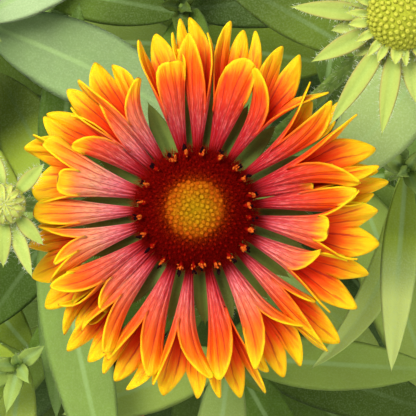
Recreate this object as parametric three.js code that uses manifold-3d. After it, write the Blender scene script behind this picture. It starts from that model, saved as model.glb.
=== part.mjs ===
// Blanket flower plant in a clay pot: one open bloom with trumpet-shaped rays, two green heads and
// leafy shoots. Millimetres, +Z up. The origin is on the ground, at the centre of the pot's foot.
import * as THREE from "three";
import { mergeVertices } from "three/addons/utils/BufferGeometryUtils.js";
import Module from "manifold-3d";

const wasm = await Module();
wasm.setup();

const V = (x, y, z) => new THREE.Vector3(x, y, z);
const rad = THREE.MathUtils.degToRad;
const deg = THREE.MathUtils.radToDeg;

// ---- Driving sizes ---------------------------------------------------------------------------

const POT_HEIGHT = 120;
const POT_FOOT_RADIUS = 47;
const POT_NECK_RADIUS = 63;
const POT_BAND_RADIUS = 71;
const POT_BAND_HEIGHT = 26;
const POT_WALL = 5;
const POT_FLOOR = 8;
const POT_SIDES = 28;
const DRAIN_RADIUS = 5;
const DRAIN_RING = 25;

const SOIL_TOP = 108;
const SOIL_GAP = 0.6;
const SOIL_SIDES = 20;
const ROOT_DEPTH = 10;
const ROOT_CLEARANCE = 0.35;

const STEM_RADIUS = 2.1;
const BLOOM_STEM_TOP = 300;
const HUB_BOTTOM = 308;
const HUB_TOP = 310;
const HUB_RADIUS = 13;
const EYE_RADIUS = 6.3;
const EYE_SEAT = 314.4;

// ---- Solids ----------------------------------------------------------------------------------

// A closed solid from points and triangles. Triangles that wind inwards are all turned round.
function solid(points, faces) {
  let volume = 0;
  const side = V(0, 0, 0);
  for (let k = 0; k < faces.length; k += 3) {
    side.crossVectors(points[faces[k + 1]], points[faces[k + 2]]);
    volume += points[faces[k]].dot(side);
  }
  return new wasm.Manifold(new wasm.Mesh({
    numProp: 3,
    vertProperties: new Float32Array(points.flatMap((p) => p.toArray())),
    triVerts: new Uint32Array(volume < 0 ? faces.reverse() : faces),
  }));
}

// A skin over a row of rings with equally many points, drawn to one point at each end. Where
// turned(ring, column) is true, a patch is split along its other diagonal.
function skin(rings, start, end, turned = () => false) {
  const count = rings[0].length;
  const last = rings.length - 1;
  const points = [start, ...rings.flat(), end];
  const at = (ring, column) => 1 + ring * count + (column % count);
  const faces = [];
  for (let j = 0; j < count; j++) {
    faces.push(0, at(0, j + 1), at(0, j));
    faces.push(points.length - 1, at(last, j), at(last, j + 1));
    for (let i = 0; i < last; i++) {
      const [a, b, c, d] = [at(i, j), at(i, j + 1), at(i + 1, j + 1), at(i + 1, j)];
      faces.push(...(turned(i, j) ? [a, b, d, b, c, d] : [a, b, c, a, c, d]));
    }
  }
  return solid(points, faces);
}

// A three.js geometry as a solid, with its shared vertices merged.
function fromGeometry(geometry) {
  geometry.deleteAttribute("normal");
  geometry.deleteAttribute("uv");
  const merged = mergeVertices(geometry, 1e-4);
  const place = merged.getAttribute("position");
  const points = Array.from({ length: place.count }, (_, i) => V(0, 0, 0).fromBufferAttribute(place, i));
  return solid(points, Array.from(merged.index.array));
}

// A turned shape about +Z from pairs of radius and height. The profile starts and ends on the axis.
function turned(profile, sides) {
  const outline = profile.map(([r, z]) => new THREE.Vector2(r, z));
  return fromGeometry(new THREE.LatheGeometry(outline, sides).rotateX(Math.PI / 2));
}

function rod(radius, from, to, x, y, sides) {
  const upright = new THREE.CylinderGeometry(radius, radius, to - from, sides).rotateX(Math.PI / 2);
  return fromGeometry(upright.translate(x, y, (from + to) / 2));
}

const fused = (solids) => solids.reduce((all, next) => all.add(next));

const plant = new THREE.Group();

// Fusing leaves some corners a few micrometres apart. They become one corner, and the slivers
// between them are dropped.
const WELD = 0.004;

function welded({ vertProperties, triVerts }) {
  const corner = (i) => V(...vertProperties.slice(3 * i, 3 * i + 3));
  const owner = Array.from({ length: vertProperties.length / 3 }, (_, i) => i);
  const find = (i) => (owner[i] === i ? i : find(owner[i]));
  const triangles = [];
  for (let k = 0; k < triVerts.length; k += 3) triangles.push([...triVerts.slice(k, k + 3)]);
  for (const [a, b, c] of triangles) {
    for (const [i, j] of [[a, b], [b, c], [c, a]]) {
      if (find(i) !== find(j) && corner(i).distanceTo(corner(j)) < WELD) owner[find(i)] = find(j);
    }
  }
  return triangles.map((triangle) => triangle.map(find))
    .filter(([a, b, c]) => a !== b && b !== c && c !== a).flat();
}

function place(name, body, color, roughness) {
  const mesh = body.getMesh();
  const geometry = new THREE.BufferGeometry();
  geometry.setAttribute("position", new THREE.BufferAttribute(new Float32Array(mesh.vertProperties), 3));
  geometry.setIndex(welded(mesh));
  const piece = new THREE.Mesh(geometry, new THREE.MeshStandardMaterial({ color, roughness, metalness: 0 }));
  piece.name = name;
  plant.add(piece);
}

// ---- Pot: a turned clay flowerpot with a rim band, three drain holes round the foot's centre --

function pot() {
  const bandFoot = POT_HEIGHT - POT_BAND_HEIGHT;
  const body = turned([
    [0, 0], [POT_FOOT_RADIUS - 1.5, 0], [POT_FOOT_RADIUS, 1.5], [POT_NECK_RADIUS, bandFoot],
    [POT_BAND_RADIUS - 2.5, bandFoot + 0.5], [POT_BAND_RADIUS, POT_HEIGHT - 3],
    [POT_BAND_RADIUS - 1.5, POT_HEIGHT], [POT_BAND_RADIUS - POT_WALL - 1, POT_HEIGHT],
    [POT_BAND_RADIUS - POT_WALL - 2, POT_HEIGHT - 2], [POT_NECK_RADIUS - POT_WALL + 1, bandFoot],
    [POT_FOOT_RADIUS - POT_WALL, POT_FLOOR], [0, POT_FLOOR],
  ], POT_SIDES);
  const drains = [90, 210, 330].map((turn) => rod(
    DRAIN_RADIUS, -1, POT_FLOOR + 1,
    DRAIN_RING * Math.cos(rad(turn)), DRAIN_RING * Math.sin(rad(turn)), 12,
  ));
  return drains.reduce((left, drain) => left.subtract(drain), body);
}

// ---- Soil: fills the pot, crumbly on top, with a plain hole for each stem --------------------

function soil(roots) {
  const bandFoot = POT_HEIGHT - POT_BAND_HEIGHT;
  const foot = POT_FOOT_RADIUS - POT_WALL - SOIL_GAP;
  const neck = POT_NECK_RADIUS - POT_WALL + 1 - SOIL_GAP;
  const rimSlope = (POT_BAND_RADIUS - POT_WALL - 2 - neck) / (POT_BAND_HEIGHT - 2);
  const edge = neck + rimSlope * (SOIL_TOP - bandFoot) - SOIL_GAP;
  const rings = [0.97, 0.75, 0.5, 0.25].map((part) => [edge * part, SOIL_TOP]);
  const profile = [[0, POT_FLOOR], [foot, POT_FLOOR], [neck, bandFoot], [edge, SOIL_TOP - 2], ...rings];
  const heap = new THREE.LatheGeometry(
    [...profile, [0, SOIL_TOP]].map(([r, z]) => new THREE.Vector2(r, z)), SOIL_SIDES,
  ).rotateX(Math.PI / 2);
  const spots = heap.getAttribute("position");
  for (let i = 0; i < spots.count; i++) {
    const [x, y, z] = [spots.getX(i), spots.getY(i), spots.getZ(i)];
    const crumb = Math.sin(0.61 * x + 1.3) * Math.cos(0.53 * y - 0.4) + Math.sin(0.23 * (x + 2 * y));
    if (z > SOIL_TOP - 1) spots.setZ(i, z + 0.7 * crumb);
  }
  const holeSides = 8;
  const hole = (STEM_RADIUS + ROOT_CLEARANCE) / Math.cos(Math.PI / holeSides);
  return roots.reduce((left, [x, y]) => left.subtract(
    rod(hole, SOIL_TOP - ROOT_DEPTH - ROOT_CLEARANCE, SOIL_TOP + 5, x, y, holeSides),
  ), fromGeometry(heap));
}

// ---- Stems and leaves ------------------------------------------------------------------------

// A stem stands upright in the soil, leans out in an S and is upright again where it ends, flat
// under a head or in a leafy shoot's pointed tip.
function stemPoint({ root, tip, top }, z) {
  const u = THREE.MathUtils.clamp((z - SOIL_TOP - 2) / (top - SOIL_TOP - 2), 0, 1);
  const lean = Math.sin(Math.PI * u / 2) ** 1.5;
  return V(root[0] + (tip[0] - root[0]) * lean, root[1] + (tip[1] - root[1]) * lean, z);
}

function stem(course) {
  const foot = SOIL_TOP - ROOT_DEPTH;
  const steps = 6;
  const sides = 6;
  const rings = [foot, SOIL_TOP + 2];
  for (let i = 1; i <= steps; i++) rings.push(SOIL_TOP + 2 + (course.top - SOIL_TOP - 2) * i / steps);
  return skin(rings.map((z) => {
    const radius = STEM_RADIUS - 0.5 * (z - foot) / (course.top - foot);
    return Array.from({ length: sides }, (_, j) => stemPoint(course, z).add(
      V(Math.cos(2 * Math.PI * j / sides), Math.sin(2 * Math.PI * j / sides), 0).multiplyScalar(radius),
    ));
  }), stemPoint(course, foot), stemPoint(course, course.top).setZ(course.top + (course.shootTip ?? 0)));
}

// A lance-shaped blade from its root point. It sets off at azimuth az and slope rise, its slope
// falls by droop and its heading turns by sweep along its length. Each section is a flat V with
// raised edges, thickest at the midrib, and the edges wave up and down.
function blade(root, shape) {
  const { az, length, width, rise, droop, sweep = 0 } = shape;
  const { thick = 1.1, fold = 0.14, wave = 0.5, stations = length < 50 ? 3 : 4 } = shape;
  const sections = [];
  const end = V(0, 0, 0);
  for (let i = 1; i <= stations + 1; i++) {
    const s = i / (stations + 1);
    const slope = rad(rise - droop * s);
    const bend = rad(Math.abs(droop) < 1 ? 1 : droop);
    const reach = length * (Math.sin(rad(rise)) - Math.sin(rad(rise) - bend * s)) / bend;
    const climb = length * (Math.cos(rad(rise) - bend * s) - Math.cos(rad(rise))) / bend;
    const chord = rad(az + sweep * s / 2);
    const heading = rad(az + sweep * s);
    const middle = V(Math.cos(chord) * reach, Math.sin(chord) * reach, climb).add(root);
    if (i > stations) {
      end.copy(middle);
      break;
    }
    const side = V(-Math.sin(heading), Math.cos(heading), 0);
    const up = V(-Math.sin(slope) * Math.cos(heading), -Math.sin(slope) * Math.sin(heading), Math.cos(slope));
    const half = width / 2 * Math.sin(Math.PI * s ** 0.85) ** 0.8;
    const ripple = wave * Math.sin(9 * s + az) * half / (width / 2);
    const off = (across, above) => middle.clone().addScaledVector(side, across).addScaledVector(up, above);
    sections.push([
      off(half, fold * half + ripple), off(0, 0.1), off(-half, fold * half - ripple), off(0, 0.1 - thick),
    ]);
  }
  return skin(sections, root.clone(), end, (_, j) => j > 1);
}

// A fan of lower leaves and a few upper ones on a stem. Lower leaves are the same on every shoot,
// spread over the sector that the shoot faces: height over the soil, share of the spread, length,
// width, rise and droop.
const SHOOT_TIP = 6;
const LOWER_LEAVES = [
  [5, -0.95, 84, 19, 60, 76], [9, 0.9, 86, 20, 56, 70], [14, -0.1, 92, 21, 62, 82],
  [34, 0.6, 72, 18, 48, 60], [52, -0.65, 68, 17, 44, 56], [74, 0.15, 62, 16, 40, 52],
];

function leafyStem(course) {
  const { facing, spread, upper, lower = LOWER_LEAVES } = course;
  const low = lower.map(([height, share, length, width, rise, droop]) => blade(
    stemPoint(course, SOIL_TOP + height), { az: facing + spread * share, length, width, rise, droop },
  ));
  const high = upper.map(([z, az, length, width, rise, droop, sweep]) => blade(
    stemPoint(course, z), { az, length, width, rise, droop, sweep },
  ));
  return fused([stem(course), ...low, ...high]);
}

// Upper leaves: height, azimuth, length, width, rise, droop, sweep.
const SHOOTS = {
  leafy_shoot_nw: {
    root: [-23, 17], tip: [-51, 44], top: 268, shootTip: SHOOT_TIP, facing: 141, spread: 20,
    upper: [
      [262, -20, 62, 19, 10, 26, -12], [266, 27, 44, 12.5, 30, 42, 0], [256, 150, 50, 13, 40, 50, 0],
      [244, 245, 46, 12, 28, 40, 8], [228, 60, 50, 13, 22, 36, 0],
      [265, 120, 24, 7, 64, 24, 0],
    ],
  },
  leafy_shoot_ne: {
    root: [27, 22], tip: [58, 39], top: 292, shootTip: SHOOT_TIP, facing: 40, spread: 22,
    upper: [
      [286, 229, 50, 17, 14, 34, 0], [290, 20, 46, 14, 34, 46, 0], [278, 110, 44, 13, 26, 40, 0],
      [262, 318, 46, 13, 26, 40, 0], [240, 70, 54, 14, 34, 46, 0],
      [289, 320, 24, 7, 64, 24, 0],
    ],
  },
  leafy_shoot_e: {
    root: [28, 1], tip: [49, 9], top: 268, shootTip: SHOOT_TIP, facing: -28, spread: 24,
    upper: [
      [266, -96, 47, 8.5, 10, 24, 4], [258, -88, 52, 8, 6, 24, -52], [262, 20, 44, 12, 34, 46, 0],
      [240, -30, 54, 14, 30, 46, 0], [226, 4, 54, 13, 30, 46, 0],
      [240, 190, 36, 12, 14, 32, 0], [200, -70, 70, 18, 14, 36, 0], [236, 62, 36, 14, 20, 34, 0],
      [265, 140, 24, 7, 64, 24, 0],
    ],
  },
  leafy_shoot_s: {
    root: [3, -25], tip: [8, -36], top: 252, shootTip: SHOOT_TIP, facing: 277, spread: 24,
    upper: [
      [246, -4, 52, 13, 8, 26, 0], [250, 262, 44, 12, 32, 44, 0], [240, 200, 44, 14, 16, 34, 0],
      [228, 300, 50, 13, 28, 42, 0], [205, -19.5, 64, 18, 24, 42, 0],
      [186, -38, 62, 19, 20, 40, 0],
      [249, 60, 24, 7, 64, 24, 0],
    ],
  },
  leafy_shoot_sw: {
    root: [-22, -19], tip: [-43.5, -38], top: 244, shootTip: SHOOT_TIP, facing: 219, spread: 22,
    upper: [
      [240, 168, 46, 13, 14, 34, 0], [242, 214, 42, 11, 34, 46, 0], [234, 262, 46, 12, 22, 38, 0],
      [220, 130, 40, 12, 8, 30, 0], [226, 38, 42, 13, 16, 34, 0],
      [241, 200, 24, 7, 64, 24, 0],
    ],
  },
  leafy_shoot_n: {
    root: [-2, 27], tip: [-4, 50], top: 238, shootTip: SHOOT_TIP, facing: 92, spread: 24,
    upper: [
      [230, 6, 52, 14, 16, 34, 0], [236, 80, 44, 12, 36, 46, 0], [226, 170, 44, 13, 12, 32, 0],
      [214, 120, 52, 13, 30, 44, 0], [190, 178, 46, 17, 14, 36, 0], [192, -8, 42, 17, 14, 36, 0],
      [222, 262, 38, 12, 16, 34, 0],
      [235, 300, 24, 7, 64, 24, 0],
    ],
  },
};

const BLOOM_STEM = {
  root: [0, 0], tip: [0, 0], top: BLOOM_STEM_TOP, facing: 0, spread: 180,
  lower: [
    [20, -0.3, 34, 9, 66, 30], [42, 0.33, 36, 10, 60, 34], [66, 0.95, 36, 10, 56, 34],
    [92, -0.62, 34, 9, 52, 36],
  ],
  upper: [
    [176, 322, 66, 16, 26, 40, 0], [206, 245, 46, 17, 22, 34, 0], [222, 68, 42, 14, 22, 34, 0],
    [214, 150, 44, 16, 20, 34, 0], [232, 304, 42, 14, 20, 32, 0], [196, 28, 44, 14, 20, 34, 0],
    [188, 203, 42, 14, 22, 34, 0],
  ],
};
const BUD_A_STEM = {
  root: [14, 13], tip: [41.6, 38.9], top: 324, facing: 66, spread: 10,
  lower: [[30, 0, 44, 11, 60, 44], [120, 1.6, 40, 10, 34, 40]],
  upper: [[268, 150, 42, 11, 14, 34, 0]],
};
const BUD_B_STEM = {
  root: [-14, 1], tip: [-39.2, 1], top: 316, facing: 178, spread: 14,
  lower: [
    [6, -0.9, 78, 15, 60, 74], [12, 0.7, 82, 16, 56, 76], [40, 0, 62, 13, 48, 60],
    [84, 0, 54, 12, 40, 54],
  ],
  upper: [
    [288, 126, 34, 7, 34, 40, 0], [254, -79, 74, 15.5, 8, 24, 2], [246, 84, 50, 13, 10, 30, 0],
    [240, -92, 54, 10, 8, 30, 0], [262, 196, 46, 12, 30, 44, 0], [230, 235, 40, 14, 16, 32, 0],
    [232, 118, 38, 17, 18, 34, 0],
  ],
};

// ---- Bloom -----------------------------------------------------------------------------------

// Green cup under the bloom with one row of spreading bracts, seen in the gaps between the rays.
const BRACT_HEADINGS = [
  27, 46, 63, 82, 95, 114, 133, 151, 176, 188, 204, 221, 236, 257, 275, 289, 309, 324, 340, 357,
];
const THIN_BRACT = { thick: 0.8, stations: 3, wave: 0.2 };

function bloomBracts() {
  const cup = turned([
    [0, BLOOM_STEM_TOP], [STEM_RADIUS + 0.6, BLOOM_STEM_TOP], [5.5, BLOOM_STEM_TOP + 2],
    [10, BLOOM_STEM_TOP + 4.5], [12.2, BLOOM_STEM_TOP + 7], [12.4, HUB_BOTTOM], [0, HUB_BOTTOM],
  ], 16);
  return fused([cup, ...BRACT_HEADINGS.map((az, i) => {
    const root = V(8.5 * Math.cos(rad(az)), 8.5 * Math.sin(rad(az)), HUB_BOTTOM - (i % 2 ? 3.5 : 2.4));
    return blade(root, { az, length: 15.5, width: 4.4, rise: 8, droop: 26, ...THIN_BRACT });
  })]);
}

// A ray floret is a trumpet: a narrow tube that widens from the hub and splits into pointed lobes.
// Each ray has its heading in degrees, its lift in mm, its width as a share of a plain tube's, the
// heading and radius of the bottom of each deep slit in its upper side, and its lobes, each with
// the angle round the tube (0 on top, 90 towards larger headings), the heading of its tip and the
// radius of its tip from the bloom's centre.
const RAYS = [
  { heading: 4.6, lift: -1.8, width: 1, slits: [[8.5, 22]],
    lobes: [[-140, 4, 38.2], [-80, 1, 35.7], [20, 7.2, 34.2], [95, 10, 35.7], [165, 8.3, 41.6]] },
  { heading: 14, lift: -2.7, width: 1, slits: [[17.5, 21.5]],
    lobes: [[-120, 10, 36], [-10, 13, 25.2], [110, 17, 33], [170, 12, 39.9]] },
  { heading: 20, lift: 0.8, width: 1.1, slits: [[23.6, 20.9]],
    lobes: [[-125, 12, 39.9], [-50, 8.2, 34.9], [100, 31.5, 39.5], [175, 18.5, 40.3]] },
  { heading: 34.5, lift: 0, width: 1, slits: [[37.6, 19.8]],
    lobes: [[-150, 36, 38], [-100, 31, 35], [-45, 37.6, 36.5], [95, 49, 36.1], [160, 43, 33.6]] },
  { heading: 54.8, lift: 0.4, width: 0.95, slits: [[51, 19.3]],
    lobes: [[-165, 55.5, 39.5], [-110, 40, 37.4], [15, 66.8, 32.1], [140, 62.5, 39.1]] },
  { heading: 72, lift: 0, width: 1.4, slits: [[79.2, 20], [64.5, 24]],
    lobes: [[-150, 70.5, 39.9], [-100, 66, 33], [0, 70.8, 33.3], [130, 80.5, 40.5], [180, 74.8, 39.3]] },
  { heading: 88, lift: -0.4, width: 1.05, slits: [[84.3, 19.3]],
    lobes: [[-170, 91.5, 40.7], [-85, 84.8, 37.3], [55, 92.9, 37], [110, 98.5, 37.6], [150, 95.2, 40.5]] },
  { heading: 102.2, lift: 0.8, width: 1.2, slits: [[106.8, 19.6]],
    lobes: [[-155, 102, 38], [-110, 95, 34], [-25, 98.5, 31.2], [110, 109.8, 37.6]] },
  { heading: 125, lift: 0.6, width: 1.1, slits: [[127.6, 21.8]],
    lobes: [[-140, 119, 35.1], [-40, 112.8, 29.8], [70, 133.3, 36.5], [170, 124.7, 37.6]] },
  { heading: 135.5, lift: -1.2, width: 1.15, slits: [[138.6, 18]],
    lobes: [[-110, 131.5, 34], [100, 142, 34], [180, 137, 37.2]] },
  { heading: 145.6, lift: -0.2, width: 1.25, slits: [[139.8, 19.4]],
    lobes: [[-165, 147, 37.4], [-105, 142, 33], [30, 153.2, 29], [80, 156.8, 37.5], [150, 149.5, 37.6]] },
  { heading: 164.4, lift: 0.6, width: 1.6, slits: [[173.2, 24.3], [162, 25]],
    lobes: [[-130, 159, 38.4], [-50, 155.6, 34.6], [15, 167.5, 29.2], [80, 180, 33.4], [155, 174, 34.7]] },
  { heading: 182, lift: -1.2, width: 1.05, slits: [[186.5, 24]],
    lobes: [[-110, 177, 33], [0, 182, 33.8], [110, 187, 33], [180, 182, 34]] },
  { heading: 197.3, lift: 0.4, width: 1.25, slits: [[194, 23.4], [199.3, 25.8]],
    lobes: [[-135, 191.5, 36.1], [-85, 185, 33.2], [-5, 201.2, 31.5], [60, 208, 33.8], [150, 203.5, 37.4]] },
  { heading: 213.5, lift: 0.8, width: 1.1, slits: [[217.8, 24]],
    lobes: [[-70, 205, 30], [0, 208.4, 34.2], [120, 216, 35.3], [180, 213.5, 38]] },
  { heading: 221.6, lift: -0.8, width: 1.2, slits: [[219.3, 22.3]],
    lobes: [[-145, 223, 38.6], [-80, 217, 33], [20, 227.3, 28.8], [100, 228.5, 33.2], [175, 225, 35.7]] },
  { heading: 230.5, lift: 0.2, width: 0.95, slits: [[229.3, 23.3]],
    lobes: [[-155, 227.5, 40.5], [-90, 226, 35], [30, 238.2, 35.5], [140, 235.8, 39.5]] },
  { heading: 248.2, lift: 0, width: 1.2, slits: [[245.2, 23.3]],
    lobes: [[-130, 239.8, 39.9], [-70, 238.6, 36.5], [40, 255.4, 36.3], [130, 250.3, 41], [180, 245, 40.3]] },
  { heading: 264.6, lift: 0.2, width: 0.95, slits: [[261.6, 22.9]],
    lobes: [[-165, 260, 40.1], [-75, 255.5, 38], [30, 276, 35.6], [130, 271.6, 40.1]] },
  { heading: 282.5, lift: 0.4, width: 0.95, slits: [[287.2, 21.2]],
    lobes: [[-130, 276.6, 40.3], [-35, 277.6, 36.1], [120, 291.9, 41.6], [180, 283.5, 41.2]] },
  { heading: 300, lift: 0.4, width: 1.25, slits: [[302.4, 23.6], [292.3, 27]],
    lobes: [
      [-130, 293, 37.8], [-40, 289.6, 35.8], [70, 314.8, 33.8], [140, 304.8, 40.1], [180, 297.8, 40.3],
    ] },
  { heading: 315.8, lift: -0.4, width: 0.9, slits: [[318, 21.5]],
    lobes: [[-80, 312, 41], [75, 323.5, 32], [180, 317.2, 41.8]] },
  { heading: 332.8, lift: -0.2, width: 1.15, slits: [[327.3, 22.7]],
    lobes: [[-155, 327.8, 40.3], [-100, 321.2, 35.9], [25, 342, 27.7], [80, 342.5, 34], [145, 340.2, 39.3]] },
  { heading: 349.5, lift: 0.7, width: 1.25, slits: [[356.4, 25.7], [345.4, 25.2]],
    lobes: [[-165, 348.8, 39.7], [-100, 341.5, 35.9], [0, 350, 28], [72, 367.8, 34.6], [135, 360.5, 38.6]] },
];

const RAY_ROOT = 8.5;
const RAY_HOLLOW = 17;
const RAY_Z = 308.8;
const RAY_WALL = 0.7;

const mix = THREE.MathUtils.lerp;
const smooth = (t) => t * t * (3 - 2 * t);
const ramp = (r, from, to) => THREE.MathUtils.clamp((r - from) / (to - from), 0, 1);

// Half width in degrees, half height and mid height of the tube at radius r.
const tubeHalfAngle = (r) => 3.3 + 1.8 * ramp(r, 12.6, 21) + 2.6 * ramp(r, 21, 32);
const tubeHalfHeight = (r) => 0.75 + 2.5 * smooth(ramp(r, 12.6, 25)) + 0.4 * ramp(r, 25, 36);
const tubeMiddle = (r) => 3.6 * smooth(ramp(r, 12.6, 27)) - 0.6 * ramp(r, 30, 42);

// How high the rim still is halfway from a tip to its notch: higher in short lobes that don't lean.
const shoulder = ({ rim, swing }) => (
  0.66 + 0.075 * THREE.MathUtils.clamp(35 - rim, 0, 4) * (1 - ramp(Math.abs(swing), 0.5, 3.5))
);

// Columns run round the tube: at each lobe's tip, at its two shoulders and at the notches between
// lobes. Each has its angle, the radius of the rim, and how far the rim swings and lifts there from
// the plain tube. Upper tips end high and lower tips end low.
function rayColumns({ heading, width, slits, lobes }) {
  const tips = lobes.map(([angle, tipHeading, rim]) => ({
    angle,
    rim,
    reach: rim,
    swing: tipHeading - heading - width * tubeHalfAngle(rim) * Math.sin(rad(angle)),
    lift: 3.4 - tubeMiddle(rim) + (3.8 - tubeHalfHeight(rim)) * Math.cos(rad(angle)),
  }));
  return tips.flatMap((tip, i) => {
    const next = { ...tips[(i + 1) % tips.length] };
    if (i + 1 === tips.length) next.angle += 360;
    const between = (share, angle, rim) => ({
      angle, rim, swing: mix(tip.swing, next.swing, share), lift: mix(tip.lift, next.lift, share),
      reach: mix(tip.rim, next.rim, share),
    });
    const shallow = [
      (tip.angle + next.angle) / 2, mix(slits[0][1], Math.min(tip.rim, next.rim), 0.55) + 1.5,
    ];
    const slit = slits.map(([side, rim]) => [
      deg(Math.asin((side - heading) / (width * tubeHalfAngle(rim)))), rim,
    ]).flatMap(([angle, rim]) => [[angle, rim], [angle + 360, rim]])
      .find(([angle]) => angle > tip.angle && angle < next.angle);
    const notch = between(0.5, ...(slit ?? shallow));
    const flank = (lobe, share) => between(
      share, mix(lobe.angle, notch.angle, 0.55), mix(notch.rim, lobe.rim, shoulder(lobe)),
    );
    return [tip, flank(tip, 0.12), notch, flank(next, 0.88)];
  });
}

// A point of the tube's outside: part runs from 0 at the mouth to 1 at the rim, and below 0 back
// to the root. The lobe's swing and lift grow from the mouth to its tip.
function rayPoint({ heading, lift, width }, { angle, rim, reach, swing, lift: rimLift }, mouth, part) {
  const r = part < 0 ? mouth + part * (mouth - RAY_ROOT) : mouth + part * (rim - mouth);
  const grow = ramp(r, mouth, reach) ** 2;
  const turn = rad(heading + width * tubeHalfAngle(r) * Math.sin(rad(angle)) + swing * grow);
  const raised = lift * smooth(ramp(r, 14, 28));
  const z = RAY_Z + raised + tubeMiddle(r) + tubeHalfHeight(r) * Math.cos(rad(angle)) + rimLift * grow;
  return V(r * Math.cos(turn), r * Math.sin(turn), z);
}

function ray(shape) {
  const columns = rayColumns(shape);
  const mouth = Math.min(...columns.map((column) => column.rim)) - 1.2;
  const on = (column, part) => rayPoint(shape, column, mouth, part);
  const outside = (part) => columns.map((column) => on(column, part));
  const inside = (part) => columns.map((column, j) => {
    const along = on(column, part + 0.02).sub(on(column, part - 0.02));
    const around = on(columns[(j + 1) % columns.length], part).sub(on(columns.at(j - 1), part));
    return on(column, part).addScaledVector(around.cross(along).normalize(), RAY_WALL);
  });
  const middle = (ring) => ring.reduce((sum, p) => sum.add(p), V(0, 0, 0)).divideScalar(ring.length);
  const hollow = (RAY_HOLLOW - mouth) / (mouth - RAY_ROOT);
  const rings = [outside(0), outside(0.55), outside(1), inside(0.55)];
  return skin(rings, middle(outside(-1)), middle(outside(hollow)), (i) => i > 1);
}

function bloomRays() {
  return fused([rod(HUB_RADIUS, HUB_BOTTOM, HUB_TOP, 0, 0, 32), ...RAYS.map(ray)]);
}

// A dome covered in florets: every other corner of the surface is raised, and the patches between
// are split along their low corners, so each raised corner stands as a knob of its own.
function floretDome(profile, knob, columns, x = 0, y = 0) {
  const last = profile.length - 1;
  const rings = profile.map(([r, z], i) => Array.from({ length: columns }, (_, j) => {
    const raised = i === 0 || i === last ? 0 : knob * ((i + j) % 2 ? 1 : -1);
    const turn = 2 * Math.PI * j / columns;
    return V(x + (r + raised) * Math.cos(turn), y + (r + raised) * Math.sin(turn), z + raised);
  }));
  return skin(rings, V(x, y, profile[0][1]), V(x, y, profile[last][1]), (i, j) => (i + j) % 2 === 1);
}

// Maroon outer florets, with open ones leaning out over the roots of the rays.
const OPEN_FLORETS = [
  4, 15, 33, 45.5, 65.5, 84, 100, 115.5, 134, 153.5, 172.5, 187,
  205, 221, 237, 254.5, 268.5, 281, 294, 305.5, 322.5, 338, 351,
];

function discRing() {
  const dome = floretDome([
    [10.6, HUB_TOP], [12.1, 311.7], [11.3, 312.8], [10, 313.5], [8.6, 314.1], [7.3, 314.4], [6.5, EYE_SEAT],
  ], 0.35, 28);
  const open = OPEN_FLORETS.map((heading) => {
    const out = V(Math.cos(rad(heading)), Math.sin(rad(heading)), 0);
    const side = V(-out.y, out.x, 0);
    const cross = V(-0.7 * out.x, -0.7 * out.y, 0.7);
    const ring = (r, z, radius) => Array.from({ length: 4 }, (_, j) => out.clone().multiplyScalar(r).setZ(z)
      .addScaledVector(side, radius * Math.cos(Math.PI * j / 2))
      .addScaledVector(cross, radius * Math.sin(Math.PI * j / 2)));
    return skin([ring(12.4, 313.6, 0.75), ring(13.5, 315, 0.55)],
      out.clone().multiplyScalar(10).setZ(311.2), out.clone().multiplyScalar(13.8).setZ(315.4));
  });
  return fused([dome, ...open]);
}

const discEye = () => floretDome([
  [EYE_RADIUS - 0.2, EYE_SEAT], [EYE_RADIUS - 0.3, EYE_SEAT + 0.7], [5.1, EYE_SEAT + 1.3],
  [3.8, EYE_SEAT + 1.7], [2.4, EYE_SEAT + 1.9], [1.1, EYE_SEAT + 2],
], 0.28, 28);

// ---- Green heads -----------------------------------------------------------------------------

// A head is a cup with narrow bracts spreading like a star, under a dome of closed florets. Bracts
// are pairs of azimuth and length.
const HEAD_A = {
  at: BUD_A_STEM, radius: 7.4, bractWidth: 4, rise: 14,
  bracts: [
    [175, 22], [191, 14], [207, 20], [221, 12], [237, 26], [252, 11], [261, 24], [281, 18], [300, 22],
    [322, 17], [345, 22], [8, 18], [30, 23], [52, 17], [75, 22], [98, 18], [120, 22], [141, 16], [158, 20],
  ],
};
const HEAD_B = {
  at: BUD_B_STEM, radius: 4.2, bractWidth: 3.2, rise: 16,
  bracts: [
    [46, 11.5], [103, 12], [128, 9], [152, 13], [178, 10], [203, 15], [228, 10], [248, 17], [268, 13],
    [290, 16], [313, 11.5],
  ],
};

function headBracts({ at, radius, bractWidth, rise, bracts }) {
  const [x, y] = at.tip;
  const cup = turned([
    [0, 0], [STEM_RADIUS, 0], [radius * 0.7, radius * 0.35], [radius, radius * 0.8], [0, radius * 0.8],
  ], 16).translate([x, y, at.top]);
  return fused([cup, ...bracts.map(([az, length], i) => {
    const inset = 0.68 * radius;
    const root = V(x + inset * Math.cos(rad(az)), y + inset * Math.sin(rad(az)), at.top);
    root.z += radius * (i % 2 ? 0.42 : 0.55);
    return blade(root, { az, length: length - inset, width: bractWidth, rise, droop: 22, ...THIN_BRACT });
  })]);
}

function headDome({ at, radius }) {
  const seat = at.top + radius * 0.8;
  return floretDome([
    [radius * 0.9, seat], [radius * 0.97, seat + radius * 0.22], [radius * 0.86, seat + radius * 0.5],
    [radius * 0.62, seat + radius * 0.72], [radius * 0.34, seat + radius * 0.84],
    [radius * 0.12, seat + radius * 0.88],
  ], 0.03 * radius, 20, ...at.tip);
}

// ---- Assembly --------------------------------------------------------------------------------

const GREY_GREEN = "#7f9a63";
const STEM_GREEN = "#8aa357";
const stems = [BLOOM_STEM, BUD_A_STEM, BUD_B_STEM, ...Object.values(SHOOTS)];

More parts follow.
